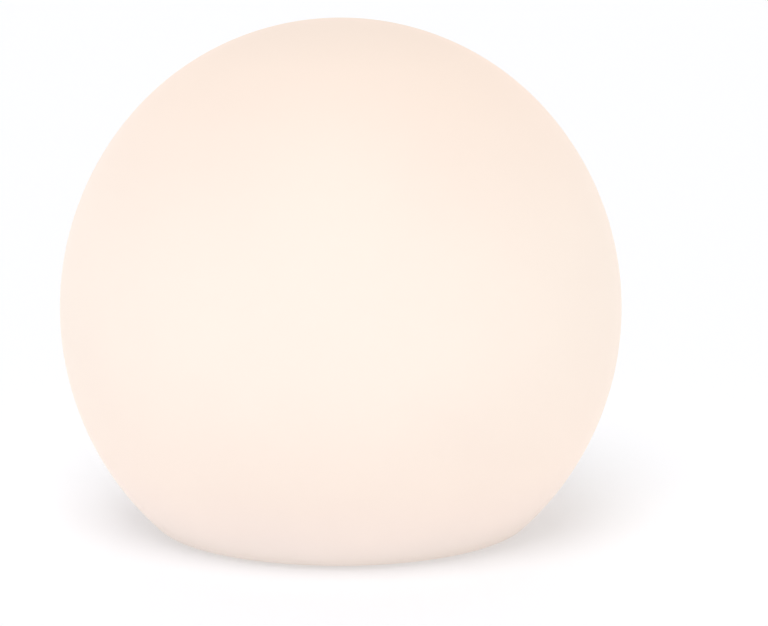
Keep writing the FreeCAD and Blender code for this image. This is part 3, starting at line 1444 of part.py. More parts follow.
def make_dome_ring():
    """The bayonet ring: its lip presses the dome's flange down, and its foot hooks under the can's lugs."""
    body = new_body("dome_ring", turn="180 / dims.lug_count")
    foot_bore = "at.housing_radius + dims.ring_clearance"
    foot_z = "at.ring_foot_top - dims.ring_foot"
    turned(
        body,
        [
            ("at.dome_radius + dims.dome_flange_clearance", "at.ring_top"),
            ("at.dome_radius + dims.dome_flange_clearance", "at.dome_flange_top"),
            ("at.ring_bore", "at.dome_flange_top"),
            ("at.ring_bore", "at.ring_foot_top"),
            (foot_bore, "at.ring_foot_top"),
            (foot_bore, foot_z),
            ("at.ring_outside", foot_z),
            ("at.ring_outside", "at.ring_top"),
        ],
    )
    round_edges(body, "dims.head_round", lambda edge: is_circle(edge, "at.ring_outside", "at.ring_top"))
    slot = new_sketch(body, "XY_Plane", z=foot_z)
    slot_width = "dims.bayonet_width + 2 * dims.ring_slot_clearance"
    slot_length = "at.ring_bore"
    draw_rectangle(slot, slot_length, slot_width, f"({slot_length}) / 2")
    repeat(body, [pocket(body, slot, "dims.ring_foot", up=True)], "dims.lug_count")
    grip = new_sketch(body, "XY_Plane", z=foot_z)
    centre = "at.ring_outside + dims.ring_grip_radius - dims.ring_grip_depth"
    draw_circle(grip, "dims.ring_grip_radius", centre)
    grip_height = f"at.dome_flange_top - ({foot_z})"
    repeat(body, [pocket(body, grip, grip_height, up=True)], "dims.ring_grips")


# ---- wires ----


def make_wire_grommet():
    """A rubber grommet in the roof, with one bore for each light lead."""
    body = new_body("wire_grommet")
    steps = (
        ("dims.grommet_flange", "at.roof_z - dims.grommet_flange_height", "dims.grommet_flange_height"),
        ("dims.grommet_radius - dims.wire_clearance", "at.roof_z", "dims.roof_thickness"),
        ("dims.grommet_flange", "at.roof_top", "dims.grommet_flange_height"),
    )
    for radius, foot, height in steps:
        sketch = new_sketch(body, "XY_Plane", z=foot)
        draw_circle(sketch, radius, "0", "at.grommet_place")
        pad(body, sketch, height)
    bores = new_sketch(body, "XY_Plane", z="at.roof_z - dims.grommet_flange_height")
    for side in (-1, 1):
        place = (f"{side} * dims.wire_spread", "at.grommet_place")
        draw_circle(bores, "dims.wire_radius + dims.wire_clearance", *place)
    pocket(body, bores, "dims.roof_thickness + 2 * dims.grommet_flange_height", up=True)


def make_wire(label, route):
    """A wire along points, with an arc at each of them as large as its two runs allow."""
    points = [Vector(*(number(c) for c in point)) for point in route]
    edges = []
    radii = []
    here = points[0]
    for before, corner, after in zip(points, points[1:], points[2:]):
        leg = number("dims.wire_share") * min((corner - before).Length, (after - corner).Length)
        start = corner + (before - corner).normalize() * leg
        finish = corner + (after - corner).normalize() * leg
        radii.append(leg / math.tan((corner - before).getAngle(after - corner) / 2))
        edges.append(Part.LineSegment(here, start).toShape())
        edges.append(arc_between(start, corner, finish))
        here = finish
    edges.append(Part.LineSegment(here, points[-1]).toShape())
    print(f"{label}: bends of radius", ", ".join(f"{radius:.1f}" for radius in radii))
    way = points[1] - points[0]
    keep_shape(label, tube_along(edges, number("dims.wire_radius"), points[0], way))


def make_light_lead(label, offset):
    """From its connector, up past the battery, through the grommet and down onto the light board."""
    x, y = LIGHT_PLUG
    x = f"{x} + {offset}"
    rise = "at.roof_top + dims.grommet_flange_height + 2 * dims.wire_rise"
    land = "dims.light_board_radius - dims.board_lead_margin"
    make_wire(
        label,
        [
            (x, y, "at.board_top + dims.plug_floor"),
            (x, y, "at.board_top + dims.plug_height + dims.wire_rise / 2"),
            (x, f"({y} + at.grommet_place) / 2", "at.bracket_z + dims.wire_rise / 2"),
            (offset, "at.grommet_place", "at.bracket_z + 3 * dims.wire_rise"),
            (offset, "at.grommet_place", rise),
            (offset, f"(at.grommet_place + {land}) / 2", f"{rise} + dims.wire_rise"),
            (offset, land, rise),
            (offset, land, "at.light_board_top"),
        ],
    )


def make_jack_lead(label, side):
    """From its solder lug on the charging port over to the connector."""
    x, y = JACK_PLUG
    y = f"{y} + {side} * dims.wire_spread"
    lug_y = f"{side} * dims.lug_spread"
    lug_top = "at.jack_z + dims.jack_height + dims.lug_length"
    over = "at.board_top + dims.plug_height + dims.wire_rise"
    make_wire(
        label,
        [
            ("dims.jack_place", lug_y, lug_top),
            ("dims.jack_place", lug_y, f"{lug_top} + 1.5 * dims.wire_rise"),
            (f"({x} + dims.jack_place) / 2", f"({y} + {lug_y}) / 2", f"{over} + dims.wire_rise / 4"),
            (x, y, f"{over} - dims.wire_rise / 4"),
            (x, y, "at.board_top + dims.plug_floor"),
        ],
    )


def make_battery_lead(label, side):
    """From its strip at one end of the cells, down beside the bracket to the connector."""
    x, y = BATTERY_PLUG
    cap = "dims.cell_cap_height" if side > 0 else "0"
    end = f"(dims.cell_length / 2 + {cap} + dims.strip_thickness)"
    out = f"{side} * (dims.cell_length / 2 + dims.cell_cap_height + dims.strip_lead)"
    under = "at.bracket_z - dims.wire_rise / 2"
    make_wire(
        label,
        [
            (f"{side} * {end}", "0", "at.cell_z"),
            (out, "0", "at.cell_z"),
            (out, "dims.wire_rise", "at.cell_z - 3 * dims.wire_rise"),
            (f"{side} * dims.cell_length / 3", f"{y} - dims.wire_rise / 2", under),
            (f"{x} + {side} * 2 * dims.wire_rise", y, under),
            (f"{x} + {side} * dims.wire_spread", y, f"{under} - dims.wire_rise / 4"),
            (f"{x} + {side} * dims.wire_spread", y, "at.board_top + dims.plug_floor"),
        ],
    )


def make_wires():
    """Each pair of leads runs side by side from its connector on the board to what it feeds."""
    for side, colour in ((-1, "red"), (1, "black")):
        make_light_lead(f"light_lead_{colour}", f"{side} * dims.wire_spread")
        make_jack_lead(f"jack_lead_{colour}", side)
    make_battery_lead("battery_lead_red", 1)
    make_battery_lead("battery_lead_black", -1)


# ---- the whole light ----


def main():
    make_globe_shell()
    make_foot_pads()
    make_thread_inserts()
    make_base_gasket()
    make_base_plate()
    make_base_washers()
    washer_face = "at.plate_under - dims.washer_thickness"
    make_screws("base_screws", BOLT_PLACE, washer_face, True, "m4", "dims.m4_length", "dims.bolt_count")
    make_housing_can()
    make_o_ring(
        "housing_o_ring",
        "at.spigot_radius - dims.seal_depth",
        "at.can_bore",
        "at.plate_top + dims.seal_height + at.seal_width / 2",
        "dims.seal_clearance",
    )
    sink = "at.plate_under + dims.housing_screw_sink"
    length = "dims.housing_screw_length"
    make_screws("housing_screws", COLUMN_PLACE, sink, True, "m3", length, "dims.column_count")
    make_power_button()
    make_button_clip()
    make_o_ring(
        "button_o_ring",
        "at.stem_groove_radius",
        "at.stem_bore",
        "at.tower_roof + dims.stem_seal_rise + at.stem_seal_width / 2",
        "dims.stem_seal_clearance",
    )
    make_button_spring()
    make_push_switch()
    make_switch_plunger()
    make_driver_board()
    make_screws("board_screws", BOARD_PLACES, "at.board_top", False, "m25", "dims.board_screw_length")
    make_driver_chips()
    make_driver_inductor()
    make_driver_capacitor()
    make_board_connectors()
    make_status_light()
    make_light_pipe()
    make_charge_jack()
    make_jack_contact_pin()
    make_jack_nut()
    make_jack_seal()
    make_port_cap()
    make_port_cap_anchor()
    make_battery_cells()
    make_battery_sleeve()
    make_cell_strips()
    make_battery_pad()
    make_battery_bracket()
    foot = "at.roof_z - dims.bracket_boss_height - dims.bracket_foot_thickness"
    make_screws("bracket_screws", BRACKET_PLACES, foot, True, "m3", "dims.bracket_screw_length")
    make_heat_spreader()
    length = "dims.spreader_screw_length"
    top = "at.spreader_top"
    make_screws("spreader_screws", SPREADER_PLACE, top, False, "m3", length, "dims.column_count")
    make_light_board()
    top = "at.light_board_top"
    length = "dims.light_screw_length"
    make_screws("light_board_screws", LIGHT_SCREW_PLACE, top, False, "m25", length, "dims.light_screw_count")
    make_light_chips()
    make_remote_receiver()
    make_diffuser_dome()
    make_dome_gasket()
    make_dome_ring()
    make_wire_grommet()
    make_wires()
    doc.recompute()
    for thing in doc.Objects:
        if "Invalid" in thing.State or "Error" in thing.State:
            raise RuntimeError(f"{thing.Label} failed: {thing.State}")
    os.makedirs("parts", exist_ok=True)
    for subpart in SUBPARTS:
        shape = subpart.Shape
        if shape.isNull() or not shape.isValid() or not shape.Solids:
            raise RuntimeError(f"{subpart.Label} has no valid solid")
        shape.exportStep(f"parts/{subpart.Label}.step")
        print(f"{subpart.Label}: {len(shape.Solids)} solid(s), {shape.Volume / 1000:.3f} cm3")


main()
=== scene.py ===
"""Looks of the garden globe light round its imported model, in metres.

The opal globe with its screw bosses, the foot pads, the button's spring and the thin web of the cap's hinge
are shaped here. The other pieces are the model's own, with their finishes. The camera, the floor and the
lamps follow the photograph.
"""

import json
import math

import bmesh
import bpy
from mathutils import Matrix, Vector


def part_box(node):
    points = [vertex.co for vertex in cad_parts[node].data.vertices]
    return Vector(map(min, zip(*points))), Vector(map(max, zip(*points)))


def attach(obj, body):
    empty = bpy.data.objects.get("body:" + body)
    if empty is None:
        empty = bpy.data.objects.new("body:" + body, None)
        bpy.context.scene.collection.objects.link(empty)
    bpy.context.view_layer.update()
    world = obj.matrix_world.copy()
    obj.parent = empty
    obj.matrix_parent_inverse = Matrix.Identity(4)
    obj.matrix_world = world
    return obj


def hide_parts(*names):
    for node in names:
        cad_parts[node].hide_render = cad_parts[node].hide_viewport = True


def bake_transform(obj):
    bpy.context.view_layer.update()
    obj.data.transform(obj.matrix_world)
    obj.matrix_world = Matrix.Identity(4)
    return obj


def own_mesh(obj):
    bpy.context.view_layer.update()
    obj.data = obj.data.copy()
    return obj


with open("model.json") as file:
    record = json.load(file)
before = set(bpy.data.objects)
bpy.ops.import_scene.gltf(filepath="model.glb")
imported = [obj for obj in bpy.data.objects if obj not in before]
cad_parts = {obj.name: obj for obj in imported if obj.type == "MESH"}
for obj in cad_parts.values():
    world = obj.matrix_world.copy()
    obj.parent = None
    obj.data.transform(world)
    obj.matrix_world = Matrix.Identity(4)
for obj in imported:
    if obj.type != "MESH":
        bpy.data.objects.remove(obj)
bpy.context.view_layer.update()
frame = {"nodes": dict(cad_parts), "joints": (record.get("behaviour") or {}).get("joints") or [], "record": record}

MM = 0.001

# ---- the globe's outline, as built: a crown arc and a side arc that meet smoothly, and a corner ----

GLOBE_RADIUS = 150 * MM
CROWN_RISE = 5 * MM
CROWN_TUCK = 3 * MM
WALL = 3 * MM
CORNER_ROUND = 7 * MM
RECESS_ROUND = 2 * MM
RECESS_RADIUS = 66.31 * MM
MOUTH_RADIUS = 52.31 * MM
LEDGE_Z = 11.8 * MM
FLAT_Z = 0.8 * MM
GLOBE_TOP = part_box("globe_shell")[1].z
EQUATOR_Z = GLOBE_TOP - GLOBE_RADIUS - CROWN_RISE

# ---- camera: the photograph's view ----

IMAGE_WIDTH = 768
IMAGE_HEIGHT = 626
SENSOR_WIDTH = 36.0
FOCAL_PIXELS = 3359
GLOBE_PIXEL = (341.05, 307.7)  # where the middle of the globe lies in the photograph
VIEW_DISTANCE = 1.8
VIEW_ELEVATION = math.radians(11)
FAR_CLIP = 100.0  # past the edge of the floor


def make_camera():
    """A long lens, aimed a little to the right of the globe, which stands left of the picture's middle."""
    data = bpy.data.cameras.new("camera")
    data.sensor_width = SENSOR_WIDTH
    data.lens = FOCAL_PIXELS / IMAGE_WIDTH * SENSOR_WIDTH
    data.clip_end = FAR_CLIP
    camera = bpy.data.objects.new("camera", data)
    bpy.context.scene.collection.objects.link(camera)
    forward = Vector((0, math.cos(VIEW_ELEVATION), -math.sin(VIEW_ELEVATION)))
    right = Vector((1, 0, 0))
    up = right.cross(forward)
    across = (IMAGE_WIDTH / 2 - GLOBE_PIXEL[0]) / FOCAL_PIXELS
    down = (IMAGE_HEIGHT / 2 - GLOBE_PIXEL[1]) / FOCAL_PIXELS
    camera.location = Vector((0, 0, EQUATOR_Z)) - forward * VIEW_DISTANCE
    aim = forward + right * across - up * down
    camera.rotation_euler = aim.to_track_quat("-Z", "Y").to_euler()
    bpy.context.scene.camera = camera


# ---- shader maths ----


class Socket:
    """An output in a finish's node tree. Arithmetic on it adds Math nodes."""

    def __init__(self, finish, output):
        self.finish = finish
        self.output = output

    def math(self, operation, *values, clamp=False):
        inputs = dict(enumerate(values))
        return self.finish.node("ShaderNodeMath", {"operation": operation, "use_clamp": clamp}, inputs)

    def __add__(self, other):
        return self.math("ADD", self, other)

    def __radd__(self, other):
        return self.math("ADD", other, self)

    def __sub__(self, other):
        return self.math("SUBTRACT", self, other)

    def __rsub__(self, other):
        return self.math("SUBTRACT", other, self)

    def __mul__(self, other):
        return self.math("MULTIPLY", self, other)

    def __rmul__(self, other):
        return self.math("MULTIPLY", other, self)

    def __truediv__(self, other):
        return self.math("DIVIDE", self, other)

    def above(self, level):
        return self.math("GREATER_THAN", self, level)

    def wave(self):
        """A sine of the value, from 0 to 1, with one turn for each unit."""
        return self.math("SINE", self * (2 * math.pi)) * 0.5 + 0.5

    def clamped(self):
        return self.math("ADD", self, 0, clamp=True)


class Shading:
    """A shader tree that is built node by node."""

    def __init__(self, tree):
        self.tree = tree
        tree.nodes.clear()

    def node(self, kind, settings=None, inputs=None, output=0):
        """Adds a node, sets it, fills or links its inputs, and gives one of its outputs."""
        node = self.tree.nodes.new(kind)
        for key, value in (settings or {}).items():
            if key == "stops":
                self.set_stops(node.color_ramp, value)
            else:
                setattr(node, key, value)
        for key, value in (inputs or {}).items():
            if isinstance(value, Socket):
                self.tree.links.new(value.output, node.inputs[key])
            else:
                node.inputs[key].default_value = value
        return Socket(self, node.outputs[output]) if node.outputs else None

    @staticmethod
    def set_stops(ramp, stops):
        ramp.interpolation = "B_SPLINE"
        while len(ramp.elements) < len(stops):
            ramp.elements.new(1)
        for element, (position, colour) in zip(ramp.elements, stops):
            element.position = position
            element.color = (*colour, 1)

    def mix(self, factor, first, second):
        """A colour between two colours, which are the mix node's inputs 6 and 7 and its output 2."""
        inputs = {"Factor": factor, 6: opaque(first), 7: opaque(second)}
        return self.node("ShaderNodeMix", {"data_type": "RGBA"}, inputs, 2)

    def seen_by_camera_and_gloss(self):
        """1 for what the camera sees, also in gloss and through clear pieces, and 0 for light."""
        rays = [f"Is {ray} Ray" for ray in ("Camera", "Glossy", "Transmission")]
        seen, gloss, through = [self.node("ShaderNodeLightPath", output=ray) for ray in rays]
        return (seen + gloss + through).clamped()

    def axes(self, place):
        """The x, y and z of a place."""
        return [self.node("ShaderNodeSeparateXYZ", None, {"Vector": place}, axis) for axis in "XYZ"]


class Finish(Shading):
    """A procedural material for one slot of the record."""

    def __init__(self, name):
        self.material = bpy.data.materials.new(name)
        self.material.use_nodes = True
        super().__init__(self.material.node_tree)
        self.place = self.node("ShaderNodeTexCoord", output="Object")

    def noise(self, size, detail=2.0, roughness=0.5, stretch=(1, 1, 1)):
        """Noise from 0 to 1 whose features are about that size in metres."""
        place = self.place
        if stretch != (1, 1, 1):
            place = self.node("ShaderNodeMapping", None, {"Vector": self.place, "Scale": stretch})
        inputs = {"Vector": place, "Scale": 1 / size, "Detail": detail, "Roughness": roughness}
        return self.node("ShaderNodeTexNoise", None, inputs)

    def cells(self, size):
        """The distance from the middle of the nearest cell, where a cell is about that size in metres."""
        inputs = {"Vector": self.place, "Scale": 1 / size}
        return self.node("ShaderNodeTexVoronoi", {"feature": "F1"}, inputs, "Distance")

    def ramp(self, factor, stops):
        return self.node("ShaderNodeValToRGB", {"stops": stops}, {"Fac": factor}, "Color")

    def bump(self, height, depth):
        """A relief: height from 0 to 1 stands for that depth in metres."""
        inputs = {"Height": height, "Distance": depth, "Strength": 1.0}
        return self.node("ShaderNodeBump", None, inputs, "Normal")

    def surface(self, **inputs):
        """Ends the tree in a Principled shader. A keyword's underscores are spaces in the socket's name."""
        named = {key.replace("_", " "): value for key, value in inputs.items()}
        self.end(self.node("ShaderNodeBsdfPrincipled", None, named))
        return self.material

    def end(self, shader):
        self.node("ShaderNodeOutputMaterial", None, {"Surface": shader})


def opaque(colour):
    return colour if isinstance(colour, Socket) else (*colour, 1)


def shade(colour, factor):
    """A colour made lighter or darker."""
    return tuple(min(channel * factor, 1) for channel in colour)


# ---- finishes ----


def opal_plastic():
    """Rotomoulded opal polyethylene with a soft grain. Its glow, lit from inside, fades to both ends."""
    finish = Finish("opal_plastic")
    height = finish.axes(finish.place)[2] / GLOBE_TOP
    cloud = finish.noise(60 * MM, detail=3)
    grain = finish.noise(1.4 * MM, detail=3, roughness=0.6)
    base = finish.mix(cloud, (0.60, 0.565, 0.54), (0.63, 0.595, 0.565))
    glow = finish.ramp(
        height + (cloud - 0.5) * 0.03,
        [
            (0.0, (0.30, 0.27, 0.24)),
            (0.07, (0.34, 0.27, 0.23)),
            (0.18, (0.40, 0.305, 0.23)),
            (0.42, (0.42, 0.345, 0.275)),
            (0.64, (0.39, 0.31, 0.24)),
            (0.82, (0.35, 0.24, 0.165)),
            (0.93, (0.315, 0.20, 0.12)),
            (1.0, (0.23, 0.13, 0.06)),
        ],
    )
    return finish.surface(
        Base_Color=base,
        Roughness=0.52 + grain * 0.12,
        Specular_IOR_Level=0.35,
        Emission_Color=glow,
        Emission_Strength=1.0,
        Normal=finish.bump(grain, 0.02 * MM),
    )


def moulded(name, colour, roughness=0.45):
    """Injection-moulded plastic with a fine spark-eroded grain and a slight drift in its colour."""
    finish = Finish(name)
    drift = finish.noise(18 * MM)
    texture = finish.noise(0.5 * MM, detail=3, roughness=0.65)
    return finish.surface(
        Base_Color=finish.mix(drift, shade(colour, 0.93), shade(colour, 1.05)),
        Roughness=roughness + texture * 0.15,
        Specular_IOR_Level=0.5,
        Normal=finish.bump(texture, 0.02 * MM),
    )


def rubbery(name, colour, roughness=0.75):
    """Rubber or silicone: matt, with a soft grain and a little bloom."""
    finish = Finish(name)
    bloom = finish.noise(6 * MM, detail=4)
    grit = finish.noise(0.35 * MM, detail=4, roughness=0.7)
    return finish.surface(
        Base_Color=finish.mix(bloom, shade(colour, 0.85), shade(colour, 1.15)),
        Roughness=roughness + grit * 0.2,
        Specular_IOR_Level=0.3,
        Normal=finish.bump(grit, 0.03 * MM),
    )


def foam_rubber(name, colour):
    """Closed-cell foam: small round cells."""
    finish = Finish(name)
    cell = finish.cells(0.9 * MM)
    return finish.surface(
        Base_Color=finish.mix(cell.clamped(), shade(colour, 0.6), shade(colour, 1.3)),
        Roughness=0.95,
        Specular_IOR_Level=0.2,
        Normal=finish.bump(cell, 0.15 * MM),
    )


def brushed(name, colour, roughness=0.3, stretch=(1, 1, 12)):
    """Metal with fine drawn lines and faint handling marks."""
    finish = Finish(name)
    lines = finish.noise(0.25 * MM, detail=3, stretch=stretch)
    marks = finish.noise(5 * MM, detail=4)
    return finish.surface(
        Base_Color=finish.mix(marks, shade(colour, 0.9), shade(colour, 1.06)),
        Metallic=1.0,
        Roughness=roughness - 0.08 + lines * 0.16 + marks * 0.06,
        Normal=finish.bump(lines, 0.004 * MM),
    )


def cast_metal(name, colour):
    """A sintered or cast core: dark, gritty and nearly matt."""
    finish = Finish(name)
    grit = finish.noise(0.3 * MM, detail=4)
    return finish.surface(
        Base_Color=finish.mix(grit, shade(colour, 0.8), shade(colour, 1.2)),
        Metallic=0.6,
        Roughness=0.6 + grit * 0.15,
        Normal=finish.bump(grit, 0.03 * MM),
    )


def board_laminate(name, colour, track_colour):
    """A circuit board: solder mask over a weave, with tracks and plated vias under it."""
    finish = Finish(name)
    x, y, _ = finish.axes(finish.place)
    weave_pitch, track_pitch = 0.7 * MM, 2.6 * MM
    weave = (x / weave_pitch).wave() * (y / weave_pitch).wave()
    step = finish.noise(9 * MM, detail=0) * 4
    tracks = (x / track_pitch + step.math("FLOOR", step)).wave().above(0.86)
    rows = finish.noise(7 * MM, detail=0, stretch=(0.5, 2, 1)).above(0.5)
    vias = 1 - finish.cells(3.2 * MM).above(0.14)
    masked = finish.mix(tracks * rows, colour, track_colour)
    return finish.surface(
        Base_Color=finish.mix(vias, masked, (0.78, 0.70, 0.5)),
        Metallic=vias * 0.9,
        Roughness=0.35 - vias * 0.1 + weave * 0.05,
        Coat_Weight=0.4 - vias * 0.4,
        Normal=finish.bump(weave * 0.3 + tracks * rows, 0.02 * MM),
    )


def clear_plastic(name):
    """Clear acrylic with a faint milkiness and a polished face."""
    finish = Finish(name)
    haze = finish.noise(3 * MM, detail=2)
    return finish.surface(
        Base_Color=finish.mix(haze, (0.84, 0.88, 0.88), (0.9, 0.93, 0.92)),
        Roughness=0.12 + haze * 0.08,
        Transmission_Weight=0.7,
        IOR=1.49,
    )


def light_chip(name):
    """Yellow phosphor in a clear resin."""
    finish = Finish(name)
    grit = finish.noise(0.2 * MM, detail=3)
    return finish.surface(
        Base_Color=finish.mix(grit, (0.80, 0.62, 0.16), (0.95, 0.83, 0.4)),
        Roughness=0.25 + grit * 0.15,
        Coat_Weight=0.6,
    )


def film_wrap(name, colour):
    """Shrink film, with small wrinkles and a gloss."""
    finish = Finish(name)
    wrinkles = finish.noise(3 * MM, detail=3, stretch=(0.3, 1, 1))
    return finish.surface(
        Base_Color=finish.mix(wrinkles, shade(colour, 0.85), shade(colour, 1.15)),
        Roughness=0.22 + wrinkles * 0.1,
        Coat_Weight=0.3,
        Normal=finish.bump(wrinkles, 0.06 * MM),
    )


def nickel_strip(name, colour):
    """Bright strip with small spot welds."""
    finish = Finish(name)
    welds = 1 - finish.cells(2.1 * MM).above(0.2)
    lines = finish.noise(0.3 * MM, detail=3, stretch=(1, 0.1, 1))
    return finish.surface(
        Base_Color=finish.mix(welds, colour, shade(colour, 0.6)),
        Metallic=1.0,
        Roughness=0.28 + lines * 0.12 + welds * 0.2,
        Normal=finish.bump(welds * -1, 0.05 * MM),
    )


def make_finishes():
    """One finish for each material slot of the record."""
    steel = (0.56, 0.565, 0.57)
    return {
        "opal_plastic": opal_plastic(),
        "grey_rubber": rubbery("grey_rubber", (0.50, 0.50, 0.49)),
        "brass": brushed("brass", (0.72, 0.56, 0.26), stretch=(1, 1, 0.3)),
        "white_silicone": rubbery("white_silicone", (0.84, 0.84, 0.82), roughness=0.55),
        "white_plastic": moulded("white_plastic", (0.80, 0.80, 0.78), roughness=0.5),
        "stainless_steel": brushed("stainless_steel", steel, roughness=0.3),
        "black_rubber": rubbery("black_rubber", (0.03, 0.03, 0.03)),
        "spring_steel": brushed("spring_steel", shade(steel, 0.85), roughness=0.25),
        "black_plastic": moulded("black_plastic", (0.035, 0.035, 0.038)),
        "board_laminate": board_laminate("board_laminate", (0.02, 0.14, 0.06), (0.03, 0.22, 0.09)),
        "ferrite": cast_metal("ferrite", (0.09, 0.09, 0.095)),
        "can_aluminium": brushed("can_aluminium", (0.78, 0.78, 0.79), roughness=0.22),
        "cream_plastic": moulded("cream_plastic", (0.80, 0.76, 0.64)),
        "clear_plastic": clear_plastic("clear_plastic"),
        "contact_brass": brushed("contact_brass", (0.80, 0.64, 0.32), roughness=0.2),
        "nickel_brass": brushed("nickel_brass", (0.68, 0.66, 0.62), roughness=0.2),
        "cap_rubber": rubbery("cap_rubber", (0.12, 0.12, 0.125), roughness=0.6),
        "cell_can": film_wrap("cell_can", (0.10, 0.30, 0.42)),
        "sleeve_film": film_wrap("sleeve_film", (0.03, 0.09, 0.28)),
        "nickel_strip": nickel_strip("nickel_strip", (0.66, 0.64, 0.58)),
        "foam_rubber": foam_rubber("foam_rubber", (0.10, 0.10, 0.10)),
        "bracket_aluminium": brushed("bracket_aluminium", (0.76, 0.77, 0.78), stretch=(0.2, 1, 1)),
        "white_board": moulded("white_board", (0.86, 0.86, 0.85), roughness=0.35),
        "light_chip": light_chip("light_chip"),
        "opal_dome": moulded("opal_dome", (0.90, 0.885, 0.86), roughness=0.4),
        "button_plastic": moulded("button_plastic", (0.26, 0.27, 0.28), roughness=0.5),
        "red_lead": moulded("red_lead", (0.55, 0.03, 0.02), roughness=0.35),
        "black_lead": moulded("black_lead", (0.02, 0.02, 0.022), roughness=0.35),
    }


# ---- shapes ----

ARC_STEPS_PER_TURN = 240  # points in a full turn of the globe's outline
SMALL_STEPS_PER_TURN = 48  # and of a small round's
TURN_STEPS = 192  # copies of the outline round the globe
SMALL_TURN_STEPS = 48  # and round a boss, a pad or a hole
SHARP_ANGLE = math.radians(32)
PATH_RADIUS = 0.1  # of the circle that a profile is carried round
MERGE_DISTANCE = 0.001 * MM


def arc(centre, radius, start, end, steps_per_turn=ARC_STEPS_PER_TURN):
    """Points along an arc, both ends included; angles in radians from the radial direction."""
    steps = max(2, math.ceil(abs(end - start) / (2 * math.pi) * steps_per_turn))
    angles = [start + (end - start) * i / steps for i in range(steps + 1)]
    return [(centre[0] + radius * math.cos(a), centre[1] + radius * math.sin(a)) for a in angles]


def small_arc(centre, radius, start, end):
    return arc(centre, radius, start, end, SMALL_STEPS_PER_TURN)


def skin(inset):
    """One skin of the globe, from the crown to the flat: crown arc, side arc and rounded corner."""
    crown_radius = GLOBE_RADIUS - CROWN_TUCK
    drop = CROWN_RISE + CROWN_TUCK
    side_radius = (GLOBE_RADIUS**2 + drop**2 - crown_radius**2) / (2 * CROWN_TUCK)
    crown = (0, EQUATOR_Z + drop)
    side = (GLOBE_RADIUS - side_radius, EQUATOR_Z)
    joint = math.atan2(drop, side_radius - GLOBE_RADIUS)
    corner_radius = CORNER_ROUND - inset
    corner_z = FLAT_Z + inset + corner_radius
    reach = side_radius - inset - corner_radius
    fall = math.asin((corner_z - EQUATOR_Z) / reach)
    corner = (side[0] + reach * math.cos(fall), corner_z)
    points = arc(crown, crown_radius - inset, math.pi / 2, joint)
    points += arc(side, side_radius - inset, joint, fall)[1:]
    points += small_arc(corner, corner_radius, fall, -math.pi / 2)[1:]
    return points


def globe_profile():
    """The outline of the globe's wall, from the top of the crown outside round to its inside."""
    recess_corner = (RECESS_RADIUS + RECESS_ROUND, FLAT_Z + RECESS_ROUND)
    outside = skin(0)
    outside += small_arc(recess_corner, RECESS_ROUND, -math.pi / 2, -math.pi)
    outside += [(RECESS_RADIUS, LEDGE_Z), (MOUTH_RADIUS, LEDGE_Z), (MOUTH_RADIUS, LEDGE_Z + WALL)]
    outside += [(RECESS_RADIUS + WALL, LEDGE_Z + WALL), (RECESS_RADIUS + WALL, FLAT_Z + WALL)]
    return outside + skin(WALL)[::-1]


